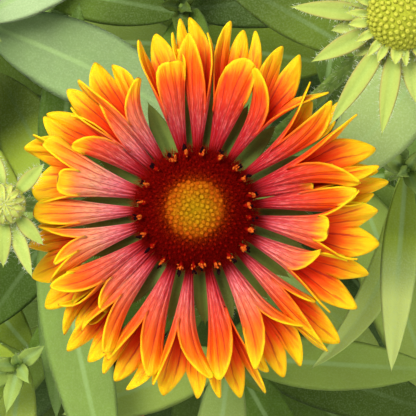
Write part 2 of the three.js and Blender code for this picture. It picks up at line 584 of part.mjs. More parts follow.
place("pot", pot(), "#b5653f", 0.9);
place("soil", soil(stems.map((course) => course.root)), "#3a2a20", 1);
place("bloom_stem", leafyStem(BLOOM_STEM), STEM_GREEN, 0.8);
place("bloom_bracts", bloomBracts(), "#6f8a45", 0.8);
place("bloom_rays", bloomRays(), "#f0641c", 0.6);
place("bloom_disc_ring", discRing(), "#6b1420", 0.9);
place("bloom_disc_eye", discEye(), "#c98a1e", 0.9);
place("bud_a_stem", leafyStem(BUD_A_STEM), STEM_GREEN, 0.8);
place("bud_a_head", headBracts(HEAD_A), "#b9cb6a", 0.8);
place("bud_a_disc", headDome(HEAD_A), "#b4bf3a", 0.9);
place("bud_b_stem", leafyStem(BUD_B_STEM), STEM_GREEN, 0.8);
place("bud_b_head", headBracts(HEAD_B), "#a9c46a", 0.8);
place("bud_b_disc", headDome(HEAD_B), "#a8bc58", 0.9);
for (const [name, course] of Object.entries(SHOOTS)) place(name, leafyStem(course), GREY_GREEN, 0.8);

export default plant;
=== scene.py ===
"""A blanket flower plant in a clay pot, dressed piece by piece over its fixed frame."""

import math

import bpy
import numpy as np
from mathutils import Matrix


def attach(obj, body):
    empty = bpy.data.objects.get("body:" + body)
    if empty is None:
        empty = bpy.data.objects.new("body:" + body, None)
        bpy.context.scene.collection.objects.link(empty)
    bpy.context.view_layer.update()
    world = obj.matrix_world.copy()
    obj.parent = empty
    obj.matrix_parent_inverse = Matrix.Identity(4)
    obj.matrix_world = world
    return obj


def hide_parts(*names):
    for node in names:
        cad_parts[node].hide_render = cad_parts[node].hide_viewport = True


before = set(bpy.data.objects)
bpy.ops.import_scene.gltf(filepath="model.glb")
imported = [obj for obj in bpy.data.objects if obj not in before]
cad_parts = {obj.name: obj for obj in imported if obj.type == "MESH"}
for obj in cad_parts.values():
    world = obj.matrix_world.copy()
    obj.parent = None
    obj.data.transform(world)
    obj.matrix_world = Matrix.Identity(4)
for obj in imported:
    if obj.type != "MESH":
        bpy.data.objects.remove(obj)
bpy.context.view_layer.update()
chance = np.random.default_rng(11)

# ---- Viewing place, floor and light ----
# The camera hangs 0.42 m over the bloom and looks straight down. A pale matt floor lies under the
# pot, and two broad soft lamps and an even sky light the plant.

scene = bpy.context.scene
scene.view_settings.view_transform = "Standard"

camera_lens = bpy.data.cameras.new("camera_above")
camera_lens.angle = math.radians(11.87)
camera_lens.clip_start = 0.01
camera = bpy.data.objects.new("camera_above", camera_lens)
camera.location = (0.00273, 0.0002, 0.733)
scene.collection.objects.link(camera)
scene.camera = camera


def feed(socket, value):
    """Links a node's output to a socket, or sets the socket's own value."""
    if isinstance(value, bpy.types.NodeSocket):
        socket.id_data.links.new(value, socket)
    elif isinstance(value, tuple) and socket.type == "RGBA":
        socket.default_value = (*value, 1)
    else:
        socket.default_value = value


def use(material, **sockets):
    """Feeds the sockets of a material's shader, by their names."""
    for key, value in sockets.items():
        feed(material.node_tree.nodes["Principled BSDF"].inputs[key.replace("_", " ")], value)


def finish(name, rough=0.5, shine=0.5, **sockets):
    """A new material of a roughness and a shine. sockets sets more of its shader's values."""
    material = bpy.data.materials.new(name)
    material.use_nodes = True
    use(material, Roughness=rough, Specular_IOR_Level=shine, **sockets)
    return material


def node(kind, *values, tree=None, out=0, **settings):
    """One more shader node, in tree or where the first of its values comes from. Values and capitalised names feed
    its sockets, and the other settings set it up."""
    made = (tree or values[0].id_data).nodes.new("ShaderNode" + kind)
    for key, value in settings.items():
        if key[0].isupper():
            feed(made.inputs[key], value)
        else:
            setattr(made, key, value)
    for socket, value in zip(made.inputs, values):
        feed(socket, value)
    return made.outputs[out]


def place_in(material):
    """Where a point lies, in metres."""
    return node("TexCoord", tree=material.node_tree, out="Object")


def noise(place, scale, detail=2, rough=0.5):
    """Cloudy noise that changes over 1 / scale metres."""
    return node("TexNoise", place, Scale=scale, Detail=detail, Roughness=rough)


def tones(value, *stops):
    """A colour that follows a value through stops, each a position and its red, green and blue, in rising order."""
    colour = node("ValToRGB", value)
    elements = colour.node.color_ramp.elements
    for stop in stops[1:-1]:
        elements.new(stop[0])
    for element, (position, *shade) in zip(elements, stops):
        element.position, element.color = position, (*shade, 1)
    return colour


floor_paint = finish("floor_paint", 0.9)
clouding = noise(place_in(floor_paint), 9, 3)
use(floor_paint, Base_Color=tones(clouding, (0.3, 0.72, 0.71, 0.69), (0.7, 0.78, 0.77, 0.75)))

floor_mesh = bpy.data.meshes.new("floor")
floor_mesh.from_pydata([(-3, -3, 0), (3, -3, 0), (3, 3, 0), (-3, 3, 0)], [], [(0, 1, 2, 3)])
floor_mesh.materials.append(floor_paint)
floor = bpy.data.objects.new("floor", floor_mesh)
scene.collection.objects.link(floor)

sky = bpy.data.worlds.new("sky")
sky.use_nodes = True
sky.node_tree.nodes["Background"].inputs["Color"].default_value = (0.93, 0.97, 1.0, 1)
sky.node_tree.nodes["Background"].inputs["Strength"].default_value = 0.5
scene.world = sky

for name, place, width, power in [
    ("lamp_left", (-0.5, 0.5, 1.25), 0.8, 25.0),
    ("lamp_right", (0.8, -0.6, 1.1), 1.1, 9.0),
]:
    lamp_data = bpy.data.lights.new(name, "AREA")
    lamp_data.size, lamp_data.energy = width, power
    lamp_data.color = (1.0, 0.97, 0.92)
    lamp = bpy.data.objects.new(name, lamp_data)
    lamp.location = place
    aim = np.array([0.0, 0.0, 0.28]) - place
    lamp.rotation_euler = (math.acos(-aim[2] / np.linalg.norm(aim)), 0, math.atan2(aim[1], aim[0]) - math.pi / 2)
    scene.collection.objects.link(lamp)

# ---- Clay pot ----
# A thrown flowerpot of unglazed red clay with a rim band, a flat foot and three drain holes. It is
# chalky where water has dried out of the clay.

POT_PROFILE = [
    (0, 0), (45.5, 0), (47, 1.5), (63, 94), (68.5, 94.5), (71, 117), (69.5, 120), (65, 120), (64, 118), (59, 94),
    (42, 8), (0, 8),
]


def skin(rings, start=None, end=None, **fields):
    """A closed skin over rings of points, given as copies x rings x columns x 3 in mm. The end rings are drawn to
    the points start and end, or to their own middles. A field is one number for all, for each copy or for each ring
    point. Copies that come out with their faces inwards, which their volume's sign shows, are turned round."""
    rings = np.asarray(rings, float)
    rings = rings.reshape((-1,) + rings.shape[-3:])
    copies, rows, columns = rings.shape[:3]
    start = rings[:, 0].mean(1) if start is None else np.broadcast_to(start, (copies, 3))
    end = rings[:, -1].mean(1) if end is None else np.broadcast_to(end, (copies, 3))
    points = np.concatenate([rings.reshape(copies, -1, 3), start[:, None], end[:, None]], 1)
    at = np.arange(rows * columns).reshape(rows, columns)
    after = np.roll(at, -1, 1)
    bands = np.stack([at[:-1], after[:-1], after[1:], at[1:]], -1).reshape(-1, 4)
    foot, tip = np.full(columns, rows * columns), np.full(columns, rows * columns + 1)
    fans = np.concatenate([np.stack([foot, after[0], at[0]], 1), np.stack([tip, at[-1], after[-1]], 1)])
    triangles = points[:, np.concatenate([bands[:, :3], bands[:, [0, 2, 3]], fans])]
    inward = np.einsum("cti,cti->c", triangles[:, :, 0], np.cross(triangles[:, :, 1], triangles[:, :, 2])) < 0
    shift = (np.arange(copies) * points.shape[1])[:, None, None]
    turned = inward[:, None, None]
    made = {"points": points.reshape(-1, 3), "fields": {}}
    made["bands"] = (np.where(turned, bands[:, ::-1], bands) + shift).reshape(-1, 4)
    made["fans"] = (np.where(turned, fans[:, ::-1], fans) + shift).reshape(-1, 3)
    for field, value in fields.items():
        value = np.asarray(value, float)
        value = np.broadcast_to(value[:, None, None] if value.ndim == 1 else value, (copies, rows, columns))
        poles = value[:, [0, -1]].mean(2)
        made["fields"][field] = np.concatenate([value.reshape(copies, -1), poles], 1).ravel()
    return made


def piece(name, skins, material, slot, *nodes):
    """One object of several skins, in metres. It rides with the plant and stands for its CAD nodes."""
    firsts = np.cumsum([0] + [len(part["points"]) for part in skins])
    bands = np.concatenate([part["bands"] + first for part, first in zip(skins, firsts)])
    fans = np.concatenate([part["fans"] + first for part, first in zip(skins, firsts)])
    mesh = bpy.data.meshes.new(name)
    mesh.vertices.add(firsts[-1])
    mesh.vertices.foreach_set("co", np.concatenate([part["points"] for part in skins]).ravel() / 1000)
    mesh.loops.add(bands.size + fans.size)
    mesh.loops.foreach_set("vertex_index", np.concatenate([bands.ravel(), fans.ravel()]))
    mesh.polygons.add(len(bands) + len(fans))
    starts = np.concatenate([np.arange(len(bands)) * 4, bands.size + np.arange(len(fans)) * 3])
    mesh.polygons.foreach_set("loop_start", starts)
    mesh.update(calc_edges=True)
    mesh.shade_smooth()
    for field in sorted({field for part in skins for field in part["fields"]}):
        values = [part["fields"].get(field, np.zeros(len(part["points"]))) for part in skins]
        mesh.attributes.new(field, "FLOAT", "POINT").data.foreach_set("value", np.concatenate(values))
    mesh.materials.append(material)
    made = bpy.data.objects.new(name, mesh)
    scene.collection.objects.link(made)
    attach(made, "root")
    if nodes:
        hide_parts(*nodes)
    return made


def rounded(corners, reach=0.9, steps=4):
    """A profile of radius and height with each corner cut by a curve that begins and ends reach mm from it: a blend
    of the two cut points and the corner, weighted as a parabola."""
    corners = np.array(corners, float)
    before, at, after = corners[:-2], corners[1:-1], corners[2:]
    ways = [before - at, after - at]
    cuts = [at + way * np.minimum(0.45, reach / np.linalg.norm(way, axis=1))[:, None] for way in ways]
    t = np.linspace(0, 1, steps)[None, :, None]
    curve = (1 - t) ** 2 * cuts[0][:, None] + 2 * t * (1 - t) * at[:, None] + t ** 2 * cuts[1][:, None]
    return curve.reshape(-1, 2)


def circle(count):
    """Headings in radians, at even steps round a circle."""
    return 2 * np.pi * np.arange(count) / count


def around(r, turn, z):
    """Points at radius r from the upright axis, heading turn in radians and height z."""
    return np.stack(np.broadcast_arrays(r * np.cos(turn), r * np.sin(turn), z), -1)


def turned(profile, columns):
    """Rings of a profile of radius and height turned round the upright axis."""
    return around(profile[:, :1], circle(columns), profile[:, 1:])


def span(value, *ends, kind="LINEAR"):
    """Carries a value from one range, low and high, to another, whose ends are 0 and 1 if none are given."""
    return node("MapRange", value, *ends, interpolation_type=kind)


def mix(share, first, second):
    """A mix of two colours, by the share of the second."""
    return node("MixRGB", share, first, second)


def calc(operation, *values):
    """The outcome of one operation on values."""
    return node("Math", *values, operation=operation)


def times(first, second):
    """The product of two values."""
    return calc("MULTIPLY", first, second)


def plus(first, second):
    """The sum of two values."""
    return calc("ADD", first, second)


def bump(height, strength, depth, **settings):
    """Relief in the shading that follows a height, depth metres deep."""
    return node("Bump", tree=height.id_data, Strength=strength, Distance=depth, Height=height, **settings)


fired_clay = finish("fired_clay", shine=0.25)
place = place_in(fired_clay)
mottle = noise(place, 38, 6, 0.62)
body_colour = tones(mottle, (0.3, 0.36, 0.105, 0.045), (0.5, 0.49, 0.16, 0.065), (0.7, 0.6, 0.215, 0.095))
low = span(node("SeparateXYZ", place, out="Z"), 0, 0.075, 0.62, 0)
chalk = span(plus(noise(place, 21, 8, 0.7), low), 0.66, 1.1, 0, 0.62)
grit = noise(place, 1500)
speckled = mix(span(grit, 0.55, 0.75, 0, 0.35), body_colour, (0.28, 0.08, 0.04))
throwing = noise(node("Mapping", place, Scale=(3, 3, 420)), 1, 3)
use(fired_clay, Base_Color=mix(chalk, speckled, (0.72, 0.6, 0.5)), Roughness=span(mottle, 0.3, 0.7, 0.82, 0.95),
    Normal=bump(plus(throwing, times(grit, 0.6)), 0.35, 0.0004))

pot = piece("clay_pot", [skin(turned(rounded(POT_PROFILE), 128))], fired_clay, "clay", "pot")

drain_rod = turned(np.array([[5, -2.0], [5, 10.0]]), 24)
drains = [skin(drain_rod + around(25, math.radians(heading), 0)) for heading in (90, 210, 330)]
cutter = piece("drain_cutter", drains, fired_clay, "clay")
cut = pot.modifiers.new("drains", "BOOLEAN")
cut.operation, cut.object, cut.solver = "DIFFERENCE", cutter, "EXACT"
bpy.context.view_layer.update()
drained = bpy.data.meshes.new_from_object(pot.evaluated_get(bpy.context.evaluated_depsgraph_get()))
pot.modifiers.clear()
pot.data = drained
bpy.data.objects.remove(cutter)

# ---- Potting compost ----
# Dark, crumbly compost of peat and bark, with loose crumbs, chips of bark and white perlite on it.

SOIL_TOP = 108.0
UP = np.array([0, 0, 1.0])


def waves(x, y, pairs, scale, seed):
    """Smooth random relief: a sum of plane waves with random headings, each shorter and lower than the last."""
    draw = np.random.default_rng(seed)
    total = 0
    for k in range(pairs):
        a, phase, b = draw.uniform(0, 2 * np.pi, 3)
        pitch = scale * 1.35 ** k
        total = total + np.sin(pitch * (x * np.cos(a) + y * np.sin(a)) + phase + b) / 1.25 ** k
    return total


def swell(x, y):
    """How far the compost's top rises over its mean height."""
    return 0.8 * waves(x, y, 7, 0.16, 3)


def stones(count, within, small, large, squash):
    """Loose bits on the compost, even over a disc of radius within. Each is a ball of small to large mm whose points
    are pushed in and out at random, flattened by squash."""
    r, turn = within * np.sqrt(chance.uniform(0, 1, count)), chance.uniform(0, 2 * np.pi, count)
    x, y = r * np.cos(turn), r * np.sin(turn)
    centres = np.stack([x, y, SOIL_TOP + swell(x, y)], 1)
    sizes = chance.uniform(small, large, count)
    polar = np.pi * np.arange(1, 4)[:, None] / 4
    ball = around(np.sin(polar), circle(6), np.cos(polar))
    push = chance.uniform(0.65, 1.2, (count, 3, 6, 1))
    stretch = chance.uniform(0.7, 1.4, (count, 1, 1, 3)) * np.array([1, 1, squash])
    rings = centres[:, None, None] + sizes[:, None, None, None] * ball * push * stretch
    pole = (sizes * squash * 0.8)[:, None] * UP
    return skin(rings, centres + pole, centres - pole, tone=chance.uniform(0, 1, count))


sides = np.array([[41.4, 8], [52, 60], [58.4, 94], [60.8, 105.5]])
top = np.stack([np.linspace(61.0, 1.5, 52), np.full(52, SOIL_TOP)], 1)
ground = turned(np.concatenate([sides, top]), 120)
# The top's own numbers, raised where they are: first by low swells, then by small lumps.
x, y, height = np.moveaxis(ground[len(sides):], -1, 0)
height += swell(x, y)
height += 0.35 * waves(x, y, 6, 1.1, 5)


def read(material, names):
    """The numbers that the mesh carries under these names."""
    return [node("Attribute", tree=material.node_tree, out="Fac", attribute_name=name) for name in names.split()]


def grainy(name, rough, shine, scale, *stops, detail=2, relief=None):
    """A plain material. Noise sets its colour by the stops, and its relief by a strength and a depth."""
    material = finish(name, rough, shine)
    grain = noise(place_in(material), scale, detail)
    use(material, Base_Color=tones(grain, *stops))
    if relief:
        use(material, Normal=bump(grain, *relief))
    return material


compost = finish("compost", 0.95, 0.2)
[tone] = read(compost, "tone")
clump = noise(place_in(compost), 260, 8, 0.7)
dark = tones(clump, (0.3, 0.012, 0.007, 0.004), (0.72, 0.075, 0.042, 0.022))
use(compost, Base_Color=mix(times(tone, 0.5), dark, (0.11, 0.058, 0.028)), Normal=bump(clump, 0.8, 0.0008))
perlite = grainy("perlite", 0.8, 0.5, 1900, (0.35, 0.42, 0.4, 0.37), (0.6, 0.8, 0.79, 0.76), detail=3,
                 relief=(0.5, 0.0003))

crumbs = stones(760, within=60, small=0.5, large=1.7, squash=0.8)
bark = stones(150, within=59, small=1.4, large=3, squash=0.35)
piece("compost_surface", [skin(ground), crumbs, bark], compost, "compost", "soil")
piece("perlite_grains", [stones(70, within=58, small=0.6, large=1.3, squash=0.9)], perlite, "compost")

# ---- Stems ----
# Round green stems with low ribs, flushed red where the sun catches them and set with white hairs.
# Each stands upright in the compost, leans out in an S and ends upright.

STEM_FOOT = 98.0
STEM_HAIRS = 420
# Where each stem leaves the compost, where its tip lies over the pot, and how high.
STEMS = {
    "bloom_stem": dict(root=(0, 0), tip=(0, 0), top=300),
    "bud_a_stem": dict(root=(14, 13), tip=(41.6, 38.9), top=324),
    "bud_b_stem": dict(root=(-14, 1), tip=(-39.2, 1), top=316),
    "leafy_shoot_nw": dict(root=(-23, 17), tip=(-51, 44), top=268),
    "leafy_shoot_ne": dict(root=(27, 22), tip=(58, 39), top=292),
    "leafy_shoot_e": dict(root=(28, 1), tip=(49, 9), top=268),
    "leafy_shoot_s": dict(root=(3, -25), tip=(8, -36), top=252),
    "leafy_shoot_sw": dict(root=(-22, -19), tip=(-43.5, -38), top=244),
    "leafy_shoot_n": dict(root=(-2, 27), tip=(-4, 50), top=238),
}
HEAD_STEMS = ("bloom_stem", "bud_a_stem", "bud_b_stem")


def stem_point(stem, z):
    """The stem's middle at height z. It leans by the 1.5th power of a quarter sine of the share of its height."""
    z = np.asarray(z, float)
    share = np.clip((z - SOIL_TOP - 2) / (stem["top"] - SOIL_TOP - 2), 0, 1)
    lean = (np.sin(np.pi * share / 2) ** 1.5)[..., None]
    root, tip = np.array(stem["root"], float), np.array(stem["tip"], float)
    return np.concatenate([root + (tip - root) * lean, z[..., None]], -1)


def stem_share(stem, z):
    """The share of its whole height that a stem has at height z."""
    return ((z - STEM_FOOT) / (stem["top"] - STEM_FOOT))[:, None]


def stem_skin(stem, pointed):
    """A tube round the stem's middle, with seven low ribs. It thins upwards by half a millimetre."""
    z = np.concatenate([[STEM_FOOT], np.linspace(SOIL_TOP - 2, stem["top"], 44)])
    share, turn = stem_share(stem, z), circle(14)
    radius = (2.1 - 0.5 * share) * (1 + 0.05 * np.cos(7 * turn) + 0.04 * np.sin(0.35 * z)[:, None])
    rings = stem_point(stem, z)[:, None] + around(radius, turn, 0)
    return skin(rings, None, rings[-1].mean(0) + (2.5 if pointed else 0) * UP, share=share)


def unit(ways):
    """Ways drawn to a length of one."""
    return ways / np.linalg.norm(ways, axis=-1, keepdims=True)


def hairs(roots, ways, length, thick, **fields):
    """Thin three-sided spikes from roots along ways, each with its own length in mm."""
    ways = unit(ways)
    side = unit(np.cross(ways, chance.normal(size=ways.shape)))
    turn = circle(3)[:, None]
    base = roots[:, None] + thick / 2 * (np.cos(turn) * side[:, None] + np.sin(turn) * np.cross(ways, side)[:, None])
    return skin(base[:, None], roots - 0.05 * ways, roots + ways * length[:, None], **fields)


def stem_hairs(stem, count):
    """Short hairs at random places on a stem, which stand out from it and lean a little upwards."""
    z = chance.uniform(SOIL_TOP + 4, stem["top"] - 1, count)
    turn = chance.uniform(0, 2 * np.pi, count)
    out = around(1, turn, chance.uniform(-0.1, 0.5, count))
    foot = stem_point(stem, z) + (2 - 0.5 * stem_share(stem, z)) * out * [1, 1, 0]
    return hairs(foot, out, chance.uniform(0.7, 1.6, count), 0.09)


stem_green = finish("stem_green", 0.65, 0.15)
[share] = read(stem_green, "share")
place = place_in(stem_green)
streaks = noise(node("Mapping", place, Scale=(900, 900, 60)), 1, 3)
green = tones(streaks, (0.3, 0.13, 0.22, 0.035), (0.7, 0.26, 0.38, 0.07))
flush = times(span(noise(place, 45, 3), 0.5, 0.7, 0, 0.45), span(share, 0.1, 0.75, 1, 0.15))
use(stem_green, Base_Color=mix(flush, green, (0.26, 0.075, 0.03)), Normal=bump(streaks, 0.3, 0.0003))

pale_hair = grainy("pale_hair", 0.6, 0.2, 700, (0.3, 0.46, 0.52, 0.32), (0.7, 0.72, 0.77, 0.58))

for name, stem in STEMS.items():
    piece(name + "_hairs", [stem_hairs(stem, STEM_HAIRS)], pale_hair, "stem_green")

# ---- Leaves ----
# Lance-shaped, softly hairy grey-green leaves with a pale midrib. Each grows from its stem, arches
# over and waves at its edges. The lowest ones make the rosette that hangs over the rim of the pot.

LOWER_LEAVES = [
    (5, -0.95, 84, 19, 60, 76), (9, 0.9, 86, 20, 56, 70), (14, -0.1, 92, 21, 62, 82),
    (34, 0.6, 72, 18, 48, 60), (52, -0.65, 68, 17, 44, 56), (74, 0.15, 62, 16, 40, 52),
]
# Facing and spread of each fan of lower leaves, its rows, and the upper leaves. A row above has a
# leaf's height over the soil, its share of the spread, length, width, rise and droop. An upper leaf
# has its height, azimuth, length, width, rise, droop, how pale and how yellow it is, and its sweep
# if it has one. Two numbers for how pale it is are those of its root and its tip. A paleness below
# zero is painted shade, for leaves that lie in the shade of others.
LEAVES = {
    "bloom_stem": (0, 180, [
        (20, -0.3, 34, 9, 66, 30), (42, 0.33, 36, 10, 60, 34), (66, 0.95, 36, 10, 56, 34), (92, -0.62, 34, 9, 52, 36),
    ], [
        (176, 322, 66, 16, 26, 40, 0.5, 0.6), (206, 245, 46, 17, 22, 34, 0, 0.1), (222, 68, 42, 14, 22, 34, 0.1, 0.1),
        (214, 150, 44, 16, 20, 34, 0, 0.1), (232, 304, 42, 14, 20, 32, 0.1, 0.1), (196, 28, 44, 14, 20, 34, 0, 0.1),
        (188, 203, 42, 14, 22, 34, 0, 0.1),
    ]),
    "bud_a_stem": (66, 10, [(30, 0, 44, 11, 60, 44), (120, 1.6, 40, 10, 34, 40)], [
        (268, 150, 42, 11, 14, 34, (-0.6, -0.9), 0.4),
    ]),
    "bud_b_stem": (178, 14, [
        (6, -0.9, 78, 15, 60, 74), (12, 0.7, 82, 16, 56, 76), (40, 0, 62, 13, 48, 60), (84, 0, 54, 12, 40, 54),
    ], [
        (288, 126, 34, 7, 34, 40, 0.3, 0.8), (254, -79, 74, 15.5, 8, 24, 0.17, 0.2, 2),
        (246, 84, 50, 13, 10, 30, -0.45, 0.1), (240, -92, 54, 10, 8, 30, 0.15, 0.1),
        (262, 196, 46, 12, 30, 44, 0.3, 0.5), (230, 235, 40, 14, 16, 32, -0.55, 0.1),
        (232, 118, 38, 17, 18, 34, (0.5, -0.9), 0.85),
    ]),
    "leafy_shoot_nw": (141, 20, LOWER_LEAVES, [
        (262, -20, 62, 19, 10, 26, 0.43, 0, -12), (266, 27, 44, 12.5, 30, 42, 0.8, 0),
        (256, 150, 50, 13, 40, 50, 0.3, 0.2), (244, 245, 46, 12, 28, 40, 0.1, 0.6, 8),
        (228, 60, 50, 13, 22, 36, 0.1, 0.1), (265, 120, 24, 7, 64, 24, 0.3, 0.3),
    ]),
    "leafy_shoot_ne": (40, 22, LOWER_LEAVES, [
        (286, 229, 50, 17, 14, 34, 0.65, 0.3), (290, 20, 46, 14, 34, 46, 0.3, 0.2),
        (278, 110, 44, 13, 26, 40, 0.2, 0.2), (262, 318, 46, 13, 26, 40, 0.2, 0.2),
        (240, 70, 54, 14, 34, 46, 0.1, 0.1), (289, 320, 24, 7, 64, 24, 0.4, 0.3),
    ]),
    "leafy_shoot_e": (-28, 24, LOWER_LEAVES, [
        (266, -96, 47, 8.5, 10, 24, (-0.3, 1.85), 0.6, 4), (258, -88, 52, 8, 6, 24, (0.4, 1.3), 0.7, -52),
        (262, 20, 44, 12, 34, 46, 0.2, 0.2), (240, -30, 54, 14, 30, 46, 0.1, 0.1), (226, 4, 54, 13, 30, 46, 0.1, 0.1),
        (240, 190, 36, 12, 14, 32, 0, 0.1), (200, -70, 70, 18, 14, 36, 0.3, 0.5), (236, 62, 36, 14, 20, 34, 0.1, 0.1),
        (265, 140, 24, 7, 64, 24, 0.4, 0.3),
    ]),
    "leafy_shoot_s": (277, 24, LOWER_LEAVES, [
        (246, -4, 52, 13, 8, 26, 0.2, 0.4), (250, 262, 44, 12, 32, 44, 0.35, 0.35),
        (240, 200, 44, 14, 16, 34, 0.35, 0.5), (228, 300, 50, 13, 28, 42, -0.25, 0.1),
        (205, -19.5, 64, 18, 24, 42, -0.75, 0.2), (186, -38, 62, 19, 20, 40, -0.3, 0.1),
        (249, 60, 24, 7, 64, 24, -0.3, 0.2),
    ]),
    "leafy_shoot_sw": (219, 22, LOWER_LEAVES, [
        (240, 168, 46, 13, 14, 34, 0.1, 0.8), (242, 214, 42, 11, 34, 46, 0.2, 0.6),
        (234, 262, 46, 12, 22, 38, 0.6, 0.8), (220, 130, 40, 12, 8, 30, -0.3, 0.5), (226, 38, 42, 13, 16, 34, 0, 0.1),
        (241, 200, 24, 7, 64, 24, 0.3, 0.4),
    ]),
    "leafy_shoot_n": (92, 24, LOWER_LEAVES, [
        (230, 6, 52, 14, 16, 34, (-0.95, -0.6), 0.2), (236, 80, 44, 12, 36, 46, 0.2, 0.2),
        (226, 170, 44, 13, 12, 32, (-0.7, -0.3), 0.2), (214, 120, 52, 13, 30, 44, 0.1, 0.1),
        (190, 178, 46, 17, 14, 36, 0.15, 0.3), (192, -8, 42, 17, 14, 36, -0.1, 0.3),
        (222, 262, 38, 12, 16, 34, 0, 0.1), (235, 300, 24, 7, 64, 24, -0.6, 0.2),
    ]),
}
# How pale the lower leaves and the tip leaves are, on the shoots that differ from the rest. Below zero
# it is painted shade, for shoots whose leaves lie in shade.
SHOOT_TONES_AND_SHADE = {"leafy_shoot_nw": (-0.6, 0.35), "leafy_shoot_n": (0.05, -0.75), "leafy_shoot_s": (0.05, -0.35)}
# Degrees from one leaf to the next in a tuft.
NEXT_LEAF = 137.5
# Places round a blade's section, as shares of half its width: over the top from edge to edge, and back below.
ACROSS = np.array([1, 0.8, 0.55, 0.25, 0, -0.25, -0.55, -0.8, -1, -0.8, -0.55, -0.25, 0, 0.25, 0.55, 0.8])


def blade_rings(root, az, length, width, rise, droop, sweep=0.0, thick=1.1, fold=0.14, wave=0.5, rows=30):
    """A lance-shaped blade. Its middle is an arc that sets off at azimuth az and slope rise, whose slope falls by
    droop and whose heading turns by sweep. Each section is a shallow V, hollow along the midrib on top and ribbed
    below it, half as wide as a skewed sine to the power 0.8, with edges that wave up and down."""
    share = np.linspace(0.015, 0.985, rows)
    slope, heading, chord = np.radians([rise - droop * share, az + sweep * share, az + sweep * share / 2])
    bend, rise_angle = math.radians(1 if abs(droop) < 1 else droop), math.radians(rise)
    reach = length * (math.sin(rise_angle) - np.sin(rise_angle - bend * share)) / bend
    climb = length * (np.cos(rise_angle - bend * share) - math.cos(rise_angle)) / bend
    middle = np.asarray(root) + around(reach, chord, climb)
    side = np.stack([-np.sin(heading), np.cos(heading), 0 * heading], 1)
    up = around(-np.sin(slope), heading, np.cos(slope))
    half = (width / 2 * np.sin(np.pi * share ** 0.85) ** 0.8)[:, None]
    x = half * ACROSS
    ripple = wave * (np.sin(9 * share + az)[:, None] * ACROSS
                     + 0.4 * np.sin(31 * share + az)[:, None] * ACROSS ** 2 * np.sign(ACROSS)) * half / (width / 2)
    rib = thick * 0.45
    above = fold * np.sqrt(x ** 2 + 0.3) - 0.25 * np.exp(-(x / rib) ** 2) + ripple
    under = (0.28 + (thick - 0.5) * np.exp(-(x / rib) ** 2)) * np.minimum(1, 3 * half / width)
    z = above - np.where(np.arange(len(ACROSS)) > 8, under, 0)
    return middle[:, None] + x[..., None] * side[:, None] + z[..., None] * up[:, None], share[:, None], x


def blade(root, az, length, width, rise, droop, pale, lime=0.0, sweep=0.0, **shape):
    """A whole blade. Its paleness may be a pair, for the root and the tip; below zero it is painted shade."""
    rings, share, x = blade_rings(root, az, length, width, rise, droop, sweep, **shape)
    end = 2 * rings[-1].mean(0) - rings[-2].mean(0)
    return skin(rings, np.asarray(root, float), end, across=x, along=share * length, share=share, lime=lime,
                margin=abs(ACROSS)[None], pale=np.interp(share, [0.3, 0.65], np.broadcast_to(pale, 2)))


def ease(value, *ends):
    """Carries a value from one range to another by a smooth step."""
    return span(value, *ends, kind="SMOOTHSTEP")


def dim(colour, by):
    """A colour at a share of its light."""
    return tuple(by * c for c in colour)


def leaf_finish(name, base, light, vein, yellow, sheen, hem=0.0):
    """Leaf tissue: mottled green with painted shade that darkens it low on the plant, a paler midrib, faint side
    veins that run forwards at a low angle, a bloom of fine hairs and, as far as hem says, a pinkish brown margin.
    Its paleness makes it lighter up to one and bright yellow-green above one, and below zero it is painted shade."""
    material = finish(name, 0.7, 0.12, Sheen_Weight=sheen, Sheen_Roughness=0.4)
    place = place_in(material)
    across, along, share, margin, pale, lime = read(material, "across along share margin pale lime")
    mottle = noise(place, 120, 6, 0.65)
    darker = dim(base, 0.62)
    # Painted shade: the lower a leaf sits on the plant, the darker it is, as if shaded by the leaves above.
    shade = span(node("SeparateXYZ", place, out="Z"), 0.16, 0.255, 0.85, 0)
    colour = mix(shade, tones(mottle, (0.3, *darker), (0.68, *base)), dim(darker, 0.4))
    colour = mix(lime, mix(pale, colour, light), yellow)
    width = calc("ABSOLUTE", across)
    midrib = times(ease(width, 0.2, 0.85, 1, 0), span(share, 0.3, 1, 0.7, 0.1))
    branch = plus(calc("SUBTRACT", along, times(width, 3.4)), span(mottle, 0.3, 0.7, -2.5, 2.5))
    comb = calc("FRACT", times(branch, 0.11))
    side_vein = ease(calc("ABSOLUTE", calc("SUBTRACT", comb, 0.5)), 0, 0.08, 0.06, 0)
    colour = mix(calc("MAXIMUM", midrib, side_vein), colour, vein)
    # Painted shade: a paleness below zero darkens leaves that lie in the shade of others.
    colour = mix(span(pale, -1, 0, 0.9, 0), colour, dim(darker, 0.3))
    colour = mix(span(pale, 1, 2, 0, 0.8), colour, (0.66, 0.78, 0.2))
    colour = mix(ease(margin, 0.65, 1, 0, hem), colour, (0.34, 0.18, 0.08))
    fuzz = noise(place, 2300, 3)
    down = times(span(fuzz, 0.45, 0.75, 0, 0.1), span(pale, 0.3, 0.6, 1, 3))
    relief = plus(plus(mottle, times(side_vein, -1)), times(fuzz, 0.3))
    use(material, Base_Color=mix(down, colour, tuple(min(1, 1.25 * c + 0.03) for c in light)),
        Normal=bump(relief, 0.5, 0.0006))
    return material


leaf_green = leaf_finish(
    "leaf_green", (0.095, 0.2, 0.02), (0.345, 0.455, 0.23), (0.28, 0.42, 0.15), (0.34, 0.44, 0.035), 0.03,
)

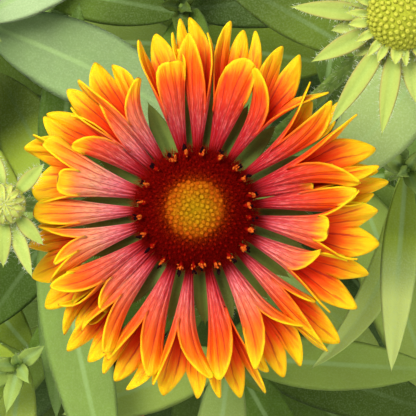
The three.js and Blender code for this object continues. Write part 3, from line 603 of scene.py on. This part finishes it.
for name, (facing, spread, lower, upper) in LEAVES.items():
    stem = STEMS[name]
    low_pale_and_shade, tip_pale_and_shade = SHOOT_TONES_AND_SHADE.get(name, (0.05, 0.35))
    leaves = [
        blade(stem_point(stem, SOIL_TOP + height), facing + spread * part, *shape, low_pale_and_shade, 0.1 * (i % 3))
        for i, (height, part, *shape) in enumerate(lower)
    ]
    leaves += [blade(stem_point(stem, height), *shape) for height, *shape in upper]
    if name not in HEAD_STEMS:
        leaves += [blade(
            stem_point(stem, stem["top"] - 1 + 0.5 * i), facing + 40 + NEXT_LEAF * i, 15 - 1.6 * i, 4.6 - 0.4 * i,
            54 + 6 * i, 20, tip_pale_and_shade, 0.45, thick=0.7, rows=14,
        ) for i in range(5)]
    piece(name + "_leaves", leaves, leaf_green, "leaf_grey_green", name)
    piece(name + "_tube", [stem_skin(stem, name not in HEAD_STEMS)], stem_green, "stem_green")

# ---- Cup and bracts of the bloom ----
# The green cup under the bloom, with a row of pointed bracts that spread below the rays and are
# fringed with white hairs.

BRACT_HEADINGS = [27, 46, 63, 82, 95, 114, 133, 151, 176, 188, 204, 221, 236, 257, 275, 289, 309, 324, 340, 357]
CUP_TOP = 308
BRACT_ROOT = 8.5

bract_green = leaf_finish(
    "bract_green", (0.17, 0.25, 0.032), (0.22, 0.33, 0.085), (0.075, 0.12, 0.018), (0.28, 0.36, 0.06), 0.04,
)


def fringe(rings, count, length):
    """Hairs that stand out from both edges of a blade, at random places along it."""
    at = chance.uniform(1, len(rings) - 1.01, count)
    low, part = at.astype(int), (at % 1)[:, None]
    edge = chance.choice([0, 8], count)
    root = rings[low, edge] * (1 - part) + rings[np.minimum(low + 1, len(rings) - 1), edge] * part
    way = root - rings[low, 4] + chance.normal(0, 0.5, (count, 3)) + [0, 0, 0.3]
    return hairs(root, way, chance.uniform(0.4, 1, count) * length, 0.07)


def bract(root, count, reach, pale, lime=0.0, **shape):
    """A bract as two skins: its blade, and its fringe of count hairs of up to reach mm."""
    return blade(root, pale=pale, lime=lime, **shape), fringe(blade_rings(root, **shape)[0], count, reach)


cup = np.array([[1.6, 300], [2.7, 300], [5.5, 302], [10, 304.5], [12.2, 307], [12.4, 307.6], [12.3, CUP_TOP]])
blades, fringes = zip(*[bract(
    around(BRACT_ROOT, math.radians(az), CUP_TOP - (3.5 if i % 2 else 2.4)), count=60, reach=1.1,
    pale=0.25 + 0.3 * (i % 3 == 0), az=az, length=16.5, width=4.6, rise=8, droop=26, thick=0.8, wave=0.2, rows=18,
) for i, az in enumerate(BRACT_HEADINGS)])
cup_skin = skin(turned(rounded(cup, 0.8), 48), across=3.0, pale=0.2)
piece("bloom_cup", [cup_skin, *blades], bract_green, "bract_green", "bloom_bracts")
piece("bloom_cup_hairs", fringes, pale_hair, "bract_green")

# ---- Ray florets ----
# Twenty-four trumpets of thin tissue. Each is a narrow crimson tube at the disc, widens outwards
# and splits into three to five pointed lobes. Outside it is veined coral, inside it is red in the
# throat and orange further out, and every lobe is edged and tipped with yellow.

# Each ray: heading, lift, width, the heading and depth of its slits, and its lobes, each with its
# angle round the tube and its tip's heading and radius.
RAYS = [
    (4.6, -1.8, 1, [(8.5, 22)], [(-140, 4, 38.2), (-80, 1, 35.7), (20, 7.2, 34.2), (95, 10, 35.7), (165, 8.3, 41.6)]),
    (14, -2.7, 1, [(17.5, 21.5)], [(-120, 10, 36), (-10, 13, 25.2), (110, 17, 33), (170, 12, 39.9)]),
    (20, 0.8, 1.1, [(23.6, 20.9)], [(-125, 12, 39.9), (-50, 8.2, 34.9), (100, 31.5, 39.5), (175, 18.5, 40.3)]),
    (34.5, 0, 1, [(37.6, 19.8)],
     [(-150, 36, 38), (-100, 31, 35), (-45, 37.6, 36.5), (95, 49, 36.1), (160, 43, 33.6)]),
    (54.8, 0.4, 0.95, [(51, 19.3)], [(-165, 55.5, 39.5), (-110, 40, 37.4), (15, 66.8, 32.1), (140, 62.5, 39.1)]),
    (72, 0, 1.4, [(79.2, 20), (64.5, 24)],
     [(-150, 70.5, 39.9), (-100, 66, 33), (0, 70.8, 33.3), (130, 80.5, 40.5), (180, 74.8, 39.3)]),
    (88, -0.4, 1.05, [(84.3, 19.3)],
     [(-170, 91.5, 40.7), (-85, 84.8, 37.3), (55, 92.9, 37), (110, 98.5, 37.6), (150, 95.2, 40.5)]),
    (102.2, 0.8, 1.2, [(106.8, 19.6)], [(-155, 102, 38), (-110, 95, 34), (-25, 98.5, 31.2), (110, 109.8, 37.6)]),
    (125, 0.6, 1.1, [(127.6, 21.8)], [(-140, 119, 35.1), (-40, 112.8, 29.8), (70, 133.3, 36.5), (170, 124.7, 37.6)]),
    (135.5, -1.2, 1.15, [(138.6, 18)], [(-110, 131.5, 34), (100, 142, 34), (180, 137, 37.2)]),
    (145.6, -0.2, 1.25, [(139.8, 19.4)],
     [(-165, 147, 37.4), (-105, 142, 33), (30, 153.2, 29), (80, 156.8, 37.5), (150, 149.5, 37.6)]),
    (164.4, 0.6, 1.6, [(173.2, 24.3), (162, 25)],
     [(-130, 159, 38.4), (-50, 155.6, 34.6), (15, 167.5, 29.2), (80, 180, 33.4), (155, 174, 34.7)]),
    (182, -1.2, 1.05, [(186.5, 24)], [(-110, 177, 33), (0, 182, 33.8), (110, 187, 33), (180, 182, 34)]),
    (197.3, 0.4, 1.25, [(194, 23.4), (199.3, 25.8)],
     [(-135, 191.5, 36.1), (-85, 185, 33.2), (-5, 201.2, 31.5), (60, 208, 33.8), (150, 203.5, 37.4)]),
    (213.5, 0.8, 1.1, [(217.8, 24)], [(-70, 205, 30), (0, 208.4, 34.2), (120, 216, 35.3), (180, 213.5, 38)]),
    (221.6, -0.8, 1.2, [(219.3, 22.3)],
     [(-145, 223, 38.6), (-80, 217, 33), (20, 227.3, 28.8), (100, 228.5, 33.2), (175, 225, 35.7)]),
    (230.5, 0.2, 0.95, [(229.3, 23.3)], [(-155, 227.5, 40.5), (-90, 226, 35), (30, 238.2, 35.5), (140, 235.8, 39.5)]),
    (248.2, 0, 1.2, [(245.2, 23.3)],
     [(-130, 239.8, 39.9), (-70, 238.6, 36.5), (40, 255.4, 36.3), (130, 250.3, 41), (180, 245, 40.3)]),
    (264.6, 0.2, 0.95, [(261.6, 22.9)], [(-165, 260, 40.1), (-75, 255.5, 38), (30, 276, 35.6), (130, 271.6, 40.1)]),
    (282.5, 0.4, 0.95, [(287.2, 21.2)],
     [(-130, 276.6, 40.3), (-35, 277.6, 36.1), (120, 291.9, 41.6), (180, 283.5, 41.2)]),
    (300, 0.4, 1.25, [(302.4, 23.6), (292.3, 27)],
     [(-130, 293, 37.8), (-40, 289.6, 35.8), (70, 314.8, 33.8), (140, 304.8, 40.1), (180, 297.8, 40.3)]),
    (315.8, -0.4, 0.9, [(318, 21.5)], [(-80, 312, 41), (75, 323.5, 32), (180, 317.2, 41.8)]),
    (332.8, -0.2, 1.15, [(327.3, 22.7)],
     [(-155, 327.8, 40.3), (-100, 321.2, 35.9), (25, 342, 27.7), (80, 342.5, 34), (145, 340.2, 39.3)]),
    (349.5, 0.7, 1.25, [(356.4, 25.7), (345.4, 25.2)],
     [(-165, 348.8, 39.7), (-100, 341.5, 35.9), (0, 350, 28), (72, 367.8, 34.6), (135, 360.5, 38.6)]),
]
RAY_Z = 308.8
RAY_ROOT = 9.0
TISSUE = 0.32
# How bleached a ray is on the outside, by its heading: partly its own paler colour and partly painted light.
PALENESS_AND_LIGHT = [
    (0, 0.05), (20, 0.0), (72, 0.0), (103, 0.1), (125, 0.42), (136, 0.42), (146, 0.1), (164, 0.95), (182, 0.85),
    (197, 0.85), (214, 0.22), (231, 0.3), (248, 0.16), (265, 0.2), (282, 0.05), (300, 0.38), (316, 0.2), (333, 0.34),
    (350, 0.24), (360, 0.05),
]


def ramp(value, low, high):
    """The share of the way from low to high, held between 0 and 1."""
    return np.clip((value - low) / (high - low), 0, 1)


def smooth(share):
    """A share eased at both ends, three times its square less twice its cube."""
    return share * share * (3 - 2 * share)


def tube_half_angle(r):
    """Half the heading that a tube takes up at radius r, in degrees: it widens at two steady rates."""
    return 3.8 + 1.6 * ramp(r, 12.6, 21) + 2.3 * ramp(r, 21, 32)


def tube_half_height(r):
    """Half a tube's height at radius r, in mm: an eased rise, then a slight steady one."""
    return 0.75 + 2.5 * smooth(ramp(r, 12.6, 25)) + 0.4 * ramp(r, 25, 36)


def tube_middle(r):
    """How far a tube's middle lies over its root at radius r, in mm: an eased rise, then a slight fall."""
    return 3.6 * smooth(ramp(r, 12.6, 27)) - 0.6 * ramp(r, 30, 42)


def ray_rim(heading, width, slits, lobes):
    """Columns round the tube, from each lobe's tip to the notch after it and on to the next tip. Each has its angle,
    the radius of the rim, the share of the way, how far its lobe's tip swings and lifts from the plain tube, and the
    radius of that tip. The rim falls from tip to notch by a share of the way and by a power of it, more bluntly in
    short lobes that don't lean. What belongs to a lobe passes into the next lobe's close to the notch."""
    angle, tip_heading, rim = np.array(lobes, float).T
    swing = tip_heading - heading - width * tube_half_angle(rim) * np.sin(np.radians(angle))
    lift = 3.4 - tube_middle(rim) + (3.8 - tube_half_height(rim)) * np.cos(np.radians(angle))
    own = np.stack([swing, lift, rim])
    blunt = np.clip(35 - rim, 0, 4) * (1 - ramp(abs(swing), 0.5, 3.5))
    steps = round(44 / len(lobes))
    t = 0.5 - 0.5 * np.cos(np.pi * np.arange(steps) / steps)
    side, depth = np.array(slits, float).T
    at = np.degrees(np.arcsin((side - heading) / (1.12 * width * tube_half_angle(depth))))
    columns = []
    for i in range(len(lobes)):
        j = (i + 1) % len(lobes)
        far = angle[j] + (360 if j == 0 else 0)
        cuts = [(at[k] + turn, depth[k]) for k in range(len(at)) for turn in (0, 360) if angle[i] < at[k] + turn < far]
        shallow = ((angle[i] + far) / 2, 0.45 * depth[0] + 0.55 * min(rim[i], rim[j]) + 1.5)
        notch, notch_rim = cuts[0] if cuts else shallow
        for here, there, start, way, end in ((i, j, angle[i], t, notch), (j, i, notch, 1 - t, far)):
            straight = 0.2 - 0.04 * blunt[here]
            fall = straight * way + (1 - straight) * way ** (2.1 + blunt[here])
            columns.append(np.concatenate([
                [start + (end - start) * t, notch_rim + (rim[here] - notch_rim) * (1 - fall), way],
                own[:, here, None] + (own[:, there] - own[:, here])[:, None] * 0.5 * way ** 3,
            ]))
    return np.concatenate(columns, 1)


def ray_skin(heading, lift, width, slits, lobes):
    """Outside and inside of one trumpet as a single closed skin. Rings run from the root to the rim and back down
    the throat; the inside is the outside moved in along its normal by the tissue's thickness."""
    angle, rim, between, swing, rim_lift, tip = ray_rim(heading, width, slits, lobes)
    mouth = rim.min() - 1.2
    wrap = np.radians(angle)
    part = np.concatenate([np.linspace(-1, 0, 13)[:-1], np.linspace(0, 1, 19)])[:, None]
    r = np.where(part < 0, mouth + part * (mouth - RAY_ROOT), mouth + part * (rim - mouth))
    open_part = np.clip(part, 0, 1) ** 1.6
    grow = ramp(r, mouth, tip) ** 2
    pinch = 1 - 0.12 * open_part * np.cos(np.pi * between)
    turn = np.radians(heading + width * tube_half_angle(r) * np.sin(wrap) * pinch + swing * grow)
    lip = 0.7 * ramp(part, 0.75, 1) ** 2
    z = RAY_Z + lift * smooth(ramp(r, 14, 28)) + tube_middle(r) + (tube_half_height(r) + lip) * np.cos(wrap)
    z = z + rim_lift * grow - 0.5 * open_part * (1 - between ** 2) * np.cos(wrap)
    outside = around(r, turn, z)
    along = np.gradient(outside, axis=0)
    across = np.roll(outside, -1, 1) - np.roll(outside, 1, 1)
    normal = np.cross(across, along)
    normal /= np.linalg.norm(normal, axis=-1, keepdims=True) + 1e-9
    to_next = np.roll(outside[-1], -1, 0) - outside[-1]
    rim_line = np.concatenate([outside[-1] + share * to_next for share in (0, 0.25, 0.5, 0.75)])
    edge = np.sqrt(((outside[:, :, None] - rim_line) ** 2).sum(-1).min(-1))
    back = slice(None, 4, -1)
    fields = {"reach": r, "edge": edge, "tip_gap": tip - r}
    fields = {field: np.concatenate([value, value[back]]) for field, value in fields.items()}
    return skin(
        np.concatenate([outside, (outside + TISSUE * normal)[back]]), wrap_cos=np.cos(wrap)[None],
        wrap_sin=np.sin(wrap)[None], inner=(np.arange(len(fields["edge"])) >= len(edge))[:, None],
        bleached=np.interp(heading, *zip(*PALENESS_AND_LIGHT)), **fields,
    )


ray_tissue = finish("ray_tissue", 0.55, 0.08, Subsurface_Weight=0.6, Subsurface_Scale=0.001)
reach, edge, tip_gap, inner, wrap_cos, wrap_sin, bleached = read(
    ray_tissue, "reach edge tip_gap inner wrap_cos wrap_sin bleached",
)


def strands(round_it, lengthwise):
    """A place for noise that changes quickly round a trumpet and slowly along it."""
    return node("CombineXYZ", times(wrap_cos, round_it), times(wrap_sin, round_it), times(reach, lengthwise))


drift = noise(strands(5, 0.12), 1, 4, 0.65)
wander = span(drift, 0.3, 0.7, -1.8, 1.8)
shifted = span(plus(reach, wander), 12, 37)
coral = tones(
    shifted, (0, 0.13, 0.002, 0.002), (0.1, 0.29, 0.004, 0.008), (0.17, 0.37, 0.006, 0.014), (0.25, 0.43, 0.012, 0.018),
    (0.31, 0.49, 0.022, 0.019), (0.38, 0.57, 0.032, 0.014), (0.46, 0.59, 0.041, 0.007), (0.54, 0.63, 0.047, 0.003),
    (0.63, 0.68, 0.066, 0.002), (0.74, 0.71, 0.11, 0.001), (0.86, 0.75, 0.24, 0.002), (1, 0.76, 0.45, 0.005),
)
bleach_and_light = tones(
    shifted, (0, 0.3, 0.006, 0.006), (0.1, 0.66, 0.065, 0.08), (0.17, 0.83, 0.175, 0.2), (0.25, 0.84, 0.24, 0.22),
    (0.31, 0.8, 0.3, 0.225), (0.38, 0.78, 0.34, 0.17), (0.46, 0.74, 0.27, 0.13), (0.54, 0.74, 0.2, 0.05),
    (0.63, 0.75, 0.21, 0.024), (0.76, 0.76, 0.29, 0.007), (1, 0.76, 0.46, 0.005),
)
# Partly the ray's own paler colour and partly painted light: bleached rays are paler and pinker outside.
coral = mix(plus(bleached, span(reach, 13.4, 16.6, -0.35, 0)), coral, bleach_and_light)
band = times(span(reach, 13.8, 17), span(reach, 20, 27, 1, 0))
# Painted highlight: a pink streak along the top of each tube, strongest on the bleached rays; sheen is its strength.
crest_highlight = ease(plus(wrap_cos, span(drift, 0.35, 0.65, -0.9, 0.9)), 0.5, 1.6, 0, 0.8)
sheen = times(band, span(bleached, 0, 0.5, 0.25, 0.9))
highlight_pink = mix(span(reach, 16, 22), (0.78, 0.19, 0.25), (0.8, 0.28, 0.18))
coral = mix(times(crest_highlight, sheen), coral, highlight_pink)
# Painted glints: short pale pink dashes along the tubes. Painted shade: short dark crimson flecks among them.
glint_and_shade_dashes = noise(strands(9, 0.9), 1)
coral = mix(times(span(glint_and_shade_dashes, 0.55, 0.72, 0, 0.32), band), coral, (0.86, 0.35, 0.34))
coral = mix(times(span(glint_and_shade_dashes, 0.32, 0.54, 0.65, 0), band), coral, (0.33, 0.008, 0.014))
gap = plus(tip_gap, wander)
flame = tones(
    span(gap, 0, 16), (0, 0.78, 0.52, 0.005), (0.22, 0.78, 0.42, 0.005), (0.36, 0.77, 0.24, 0.004),
    (0.52, 0.76, 0.095, 0.004), (0.73, 0.73, 0.038, 0.003), (1, 0.58, 0.01, 0.002),
)
golden_tip = times(ease(gap, 0, 4.6, 0.9, 0), span(reach, 22, 27))
tissue = mix(inner, mix(golden_tip, coral, (0.79, 0.48, 0.006)), flame)
rim_gold = mix(span(gap, 3, 11), (0.78, 0.5, 0.006), (0.76, 0.24, 0.006))
thin = times(ease(edge, 0.1, 0.8, 0.9, 0), span(gap, 3, 13, 1, 0.4))
tissue = mix(times(thin, span(reach, 20, 28)), tissue, rim_gold)
comb = times(plus(calc("ARCTAN2", wrap_sin, wrap_cos), span(drift, 0.3, 0.7, -0.06, 0.06)), 12)
ridge = calc("COSINE", comb)
fade = times(span(edge, 0.3, 1.6), span(gap, 0, 7, 0.25, 0.75))
tissue = mix(times(ease(ridge, 0.78, 1), fade), tissue, (0.34, 0.01, 0.006))
use(ray_tissue, Base_Color=mix(span(tip_gap, 0.03, 0.22, 0.85, 0), tissue, (0.22, 0.03, 0.008)),
    Normal=bump(calc("SUBTRACT", ridge, times(drift, 1.5)), 0.6, 0.0003, invert=True))

trumpets = [ray_skin(*ray) for ray in RAYS]
piece("ray_florets_right", trumpets[18:] + trumpets[:6], ray_tissue, "ray_orange", "bloom_rays")
piece("ray_florets_left", trumpets[6:18], ray_tissue, "ray_orange")

# ---- Disc ----
# A low dome of tiny florets set on one spiral. The closed ones in the middle are gold, the ring
# round them is maroon and bristly, and along its edge open florets push out dark anthers and
# orange pollen.

DOME = np.array([
    (0, 316.4), (2.4, 316.3), (3.8, 316.1), (5.1, 315.7), (6.0, 315.1), (6.5, 314.6), (7.3, 314.4), (8.6, 314.1),
    (10, 313.5), (11.3, 312.8), (12.1, 311.7),
])
EYE_RADIUS = 6.3
SPIRAL_PITCH = 0.58
GOLDEN_ANGLE = math.radians(137.508)
# Shares of width and height from foot to top, of closed florets in the eye and in the ring.
BUD = [(0.75, 0), (0.98, 0.35), (0.85, 0.75), (0.5, 1), (0.22, 0.86)]
SPIKE = [(0.6, 0), (0.8, 0.4), (0.6, 0.75), (0.25, 1.0)]
FLORETS, DOWN_HAIRS, BRISTLES = 462, 4500, 15000


def dome_place(r, turn):
    """Points on the dome, and the way that florets stand there, which leans outwards towards its edge."""
    lean = np.radians(np.interp(r, [0, 6, 10, 12.5], [0, 12, 30, 62]))
    return around(r, turn, np.interp(r, DOME[:, 0], DOME[:, 1])), around(np.sin(lean), turn, np.cos(lean))


def knobs(points, ways, widths, heights, profile, columns, star=0.0, **fields):
    """Small turned bodies that stand on points along ways. profile gives shares of width and height, and star
    draws every second column in."""
    side = unit(np.cross(ways, [0.31, 0.87, 0.12]))
    other = np.cross(ways, side)
    turn = circle(columns) + chance.uniform(0, 6, len(points))[:, None, None]
    wide, high = np.array(profile, float).T[:, None, :, None]
    rim = 1 - star * (np.arange(columns) % 2) * (high > 0.5)
    spread = widths[:, None, None] * wide * rim
    rings = points[:, None, None] + (heights[:, None, None] * high)[..., None] * ways[:, None, None]
    rings = rings + (spread * np.cos(turn))[..., None] * side[:, None, None]
    rings = rings + (spread * np.sin(turn))[..., None] * other[:, None, None]
    return skin(rings, share=high, **fields)


def closed_florets(which, sunk, width, height, profile, columns, star):
    """The closed florets of the spiral that which picks, sunk mm into the dome, of random width and height."""
    count = which.sum()
    return knobs(seat[which] - sunk * stand[which], stand[which], chance.uniform(*width, count),
                 chance.uniform(*height, count), profile, columns, star=star, radius=spiral_r[which],
                 tone=chance.uniform(0, 1, count))


def dome_scatter(count, near, far, loose):
    """Random places on the dome, even over its area between the squares near and far of two radii. Their ways
    scatter round its own by a spread of loose."""
    r, turn = np.sqrt(chance.uniform(near, far, count)), chance.uniform(0, 2 * np.pi, count)
    points, ways = dome_place(r, turn)
    return r, points, ways + chance.normal(0, loose, ways.shape)


def grain(material, scale):
    """The fine relief of a floret's skin."""
    return bump(noise(place_in(material), scale), 0.4, 0.0002)


number = np.arange(FLORETS) + 1
spiral_r = SPIRAL_PITCH * np.sqrt(number) + chance.uniform(-0.07, 0.07, len(number))
spiral_turn = number * GOLDEN_ANGLE + chance.uniform(-0.08, 0.08, len(number)) / spiral_r
seat, stand = dome_place(spiral_r, spiral_turn)
wobble = 0.2 * np.sin(3 * spiral_turn + 0.6) + chance.uniform(-0.45, 0.45, len(number))
golden = spiral_r + wobble < EYE_RADIUS - 0.2

gold_floret = finish("gold_floret", 0.9, 0)
share, radius, tone = read(gold_floret, "share radius tone")
spread = plus(radius, span(tone, 0, 1, -0.8, 0.8))
gold = tones(span(spread, 0, 7), (0, 0.38, 0.24, 0.004), (0.45, 0.42, 0.175, 0.004), (0.75, 0.42, 0.085, 0.003),
             (1, 0.32, 0.022, 0.002))
shaded = mix(span(share, 0.1, 0.8, 0.6, 0), gold, (0.34, 0.1, 0.002))
mouth = times(span(share, 0.88, 1), span(tone, 0.75, 0.95, 0.4, 0.95))
use(gold_floret, Base_Color=mix(mouth, shaded, (0.24, 0.06, 0.003)), Normal=grain(gold_floret, 2200))

maroon_floret = finish("maroon_floret", 0.9, 0)
share, radius, tone = read(maroon_floret, "share radius tone")
maroon = tones(span(radius, 6, 12.5), (0, 0.4, 0.05, 0.001), (0.2, 0.28, 0.012, 0.001), (0.42, 0.18, 0.002, 0.001),
               (1, 0.16, 0.002, 0.001))
lit = mix(span(share, 0.3, 1, 0.55, 0), maroon, (0.085, 0.001, 0.001))
use(maroon_floret, Base_Color=mix(times(tone, 0.3), lit, (0.3, 0.006, 0.002)), Normal=grain(maroon_floret, 2600))

down_r, down_seat, down_way = dome_scatter(DOWN_HAIRS, near=0, far=46, loose=0.4)
rows = np.array([(6.25, 314.35), (6.2, 314.9), (5.0, 315.5), (3.7, 315.9), (2.3, 316.1), (0.6, 316.2)])
piece("disc_eye", [
    skin(turned(rows, 40), share=0.5, radius=rows[:, :1]),
    closed_florets(golden, sunk=0.5, width=(0.48, 0.6), height=(0.6, 0.95), profile=BUD, columns=10, star=0.2),
    hairs(down_seat, down_way, chance.uniform(0.35, 0.85, DOWN_HAIRS), 0.075, radius=down_r + 0.7,
          tone=chance.uniform(0, 0.7, DOWN_HAIRS), share=0.85),
], gold_floret, "disc_gold", "bloom_disc_eye")

bristle_r, bristle_seat, bristle_way = dome_scatter(BRISTLES, near=36, far=162, loose=0.36)
bristle_length = chance.uniform(0.7, 1.7, BRISTLES) + ramp(bristle_r, 10, 12.7) * chance.uniform(0, 1.3, BRISTLES)
rows = np.array([(10.6, 310.0), (12.0, 311.7), (11.2, 312.7), (10, 313.3), (8.6, 313.9), (7.3, 314.2), (6.3, 314.2)])
piece("disc_ring", [
    skin(turned(rows, 72), share=0.2, radius=10.0),
    closed_florets(~golden, sunk=0.6, width=(0.44, 0.56), height=(0.9, 1.5), profile=SPIKE, columns=8, star=0.4),
    hairs(bristle_seat, bristle_way, bristle_length, 0.09, radius=bristle_r, tone=chance.uniform(0, 1, BRISTLES),
          share=chance.uniform(0.4, 1.0, BRISTLES)),
], maroon_floret, "disc_maroon", "bloom_disc_ring")

# Open florets: heading, how far out the pollen sits, and how much pollen shows.
OPEN_FLORETS = [
    (3.6, 11.5, 1), (13.9, 12.6, 1), (31.9, 12.4, 1), (44.7, 12.5, 0.9), (64.4, 12.3, 1.1), (83.2, 12.1, 1.1),
    (99.3, 12.2, 1.1), (114.9, 11.7, 1.1), (134, 12.2, 0.3), (154.3, 11.7, 0.9), (173, 11.4, 0.8), (188.2, 12.1, 1.1),
    (206.2, 12.3, 1.1), (221, 12.4, 0.3), (238.4, 13.2, 0.9), (256, 12.9, 1), (268.5, 12.6, 0.6), (277.4, 12.1, 1.1),
    (290.8, 12.9, 1), (306.1, 12.9, 1.1), (322.2, 13.4, 1.2), (338.6, 12.6, 1), (351, 12.2, 0.3),
]
TUBE = [(0.5, 0), (0.55, 0.5), (0.95, 0.85), (0.75, 1.0)]
CAPSULE = [(0.5, 0.0), (0.95, 0.2), (1.0, 0.5), (0.8, 0.8), (0.35, 1.0)]
heading, pollen_r, plenty = np.array(OPEN_FLORETS).T
out = around(1, np.radians(heading), 0)
tube_seat = out * (pollen_r - 1.7)[:, None] + 313 * UP

pollen = grainy("pollen", 0.8, 0.1, 3000, (0.36, 0.28, 0.016, 0.002), (0.7, 0.62, 0.13, 0.006), relief=(0.6, 0.0002))
anther = grainy("anther", 0.8, 0, 2500, (0.3, 0.004, 0.001, 0.002), (0.75, 0.016, 0.004, 0.005))

count = len(heading)
piece("open_floret_tubes", [knobs(
    tube_seat, 0.55 * out + 0.84 * UP, np.full(count, 0.62), np.full(count, 2.4), TUBE, 10, star=0.3, radius=9.0,
    tone=chance.uniform(0, 1, count),
)], maroon_floret, "disc_maroon")
for name, out_by, each, apart, thick, plump, material, slot in (
    ("anthers", 1.95, 3, 0.2, 0.26, np.ones(count), anther, "disc_maroon"),
    ("pollen_grains", 1.1, 5, 0.24, 0.24, plenty, pollen, "disc_gold"),
):
    heap = np.repeat(tube_seat + 1.9 * UP + out_by * out, each, 0) + chance.normal(0, apart, (each * count, 3))
    bits = np.repeat(plump, each)
    piece(name, [knobs(
        heap, np.repeat(0.85 * out + 0.5 * UP, each, 0) + chance.normal(0, 0.3, heap.shape),
        thick * bits * chance.uniform(0.7, 1.2, len(bits)), bits * chance.uniform(0.5, 1.0, len(bits)), CAPSULE, 8,
    )], material, slot)

# ---- Green heads ----
# Two heads before they colour: a dome of closed yellow-green florets in a star of narrow hairy
# bracts, on a small cup at the end of a stem.

# For each head: its cup's radius, its bracts' width and rise, the dome's height as a share of the
# radius, how many bracts still fold in over it, how many short ones stand inside the star, and the
# headings and lengths of the star's own.
HEADS = {
    "bud_a": dict(radius=7.4, width=4.0, rise=14, dome=0.85, folded=0, inner=22, bracts=[
        (175, 22), (191, 14), (207, 20), (221, 12), (237, 26), (252, 11), (261, 24), (281, 18), (300, 22), (322, 17),
        (345, 22), (8, 18), (30, 23), (52, 17), (75, 22), (98, 18), (120, 22), (141, 16), (158, 20),
    ]),
    "bud_b": dict(radius=4.2, width=3.2, rise=16, dome=0.65, folded=13, inner=0, bracts=[
        (46, 11.5), (103, 12), (128, 9), (152, 13), (178, 10), (203, 15), (228, 10), (248, 17), (268, 13),
        (290, 16), (313, 11.5),
    ]),
}

bud_bract = leaf_finish(
    "bud_bract", (0.21, 0.3, 0.045), (0.37, 0.46, 0.12), (0.28, 0.38, 0.08), (0.46, 0.51, 0.085), 0.04, hem=0.45,
)
bud_floret = finish("bud_floret", 0.8, 0.1)
share, tone = read(bud_floret, "share tone")
fresh = tones(share, (0.1, 0.34, 0.37, 0.025), (0.9, 0.42, 0.45, 0.045))
use(bud_floret, Base_Color=mix(times(tone, 0.5), fresh, (0.47, 0.44, 0.05)), Normal=grain(bud_floret, 2000))

for name, head in HEADS.items():
    stem, radius, tall = STEMS[name + "_stem"], head["radius"], head["dome"]
    at, inset = np.array([*stem["tip"], stem["top"]], float), 0.68 * radius
    bracts = [bract(
        at + around(inset, math.radians(az), radius * (0.42 if i % 2 else 0.55)), count=70, reach=1.3,
        pale=0.35 + 0.4 * (i % 2), lime=0.3, az=az, length=length - inset, width=head["width"], rise=head["rise"],
        droop=22, thick=0.8, wave=0.2, rows=18,
    ) for i, (az, length) in enumerate(head["bracts"])]
    bracts += [bract(
        at + around(0.8 * radius, math.radians(az), 0.86 * radius), count=24, reach=0.9, pale=0.5, lime=0.7, az=az,
        length=chance.uniform(4.2, 6.4), width=chance.uniform(1.8, 2.6), rise=34, droop=36, thick=0.6, wave=0.3,
        rows=14,
    ) for az in np.arange(head["inner"]) * NEXT_LEAF]
    bracts += [bract(
        at + around(radius, math.radians(az), 0.78 * radius), count=30, reach=0.8, pale=0.6, lime=0.8, az=az + 180,
        length=6.2, width=2.9, rise=82, droop=88, thick=0.6, wave=0.25, rows=16,
    ) for az in np.degrees(circle(head["folded"]))]
    blades, fringes = zip(*bracts)
    cup = np.array([[0.8, 0], [2, 0], [0.7 * radius, 0.35 * radius], [radius, 0.8 * radius],
                    [0.9 * radius, 0.85 * radius]])
    cup_skin = skin(turned(cup, 40) + at, across=3.0, pale=0.4)
    piece(name + "_cup", [cup_skin, *blades], bud_bract, "bud_green", name + "_head")
    piece(name + "_hairs", fringes, pale_hair, "bud_green")

    number = np.arange(1, round(3.3 * radius ** 2))
    polar, turn = 0.5 * np.pi * np.sqrt(number / number.max()), number * GOLDEN_ANGLE
    point = at + around(0.92 * radius * np.sin(polar), turn, 0.8 * radius + tall * radius * np.cos(polar))
    way = around(np.sin(polar), turn, np.cos(polar))
    dome_polar = np.linspace(0.5 * np.pi, 0.05, 9)
    dome = radius * np.stack([0.9 * np.sin(dome_polar), 0.8 + 0.96 * tall * np.cos(dome_polar)], 1)
    down = chance.normal(size=(round(34 * radius ** 2), 3))
    down[:, 2] = abs(down[:, 2])
    down = unit(down)
    fuzz = hairs(at + radius * (0.8 * UP + down * [0.94, 0.94, tall]), down + chance.normal(0, 0.5, down.shape),
                 chance.uniform(0.5, 1.1, len(down)), 0.08, share=0.9, tone=chance.uniform(0, 1, len(down)))
    piece(name + "_dome", [
        skin(turned(dome, 40) + at, share=0.1),
        knobs(point - 0.4 * way, way, chance.uniform(0.5, 0.64, len(number)), chance.uniform(0.6, 0.9, len(number)),
              BUD, 8, star=0.2, tone=chance.uniform(0, 1, len(number))),
        fuzz,
    ], bud_floret, "bud_green", name + "_disc")
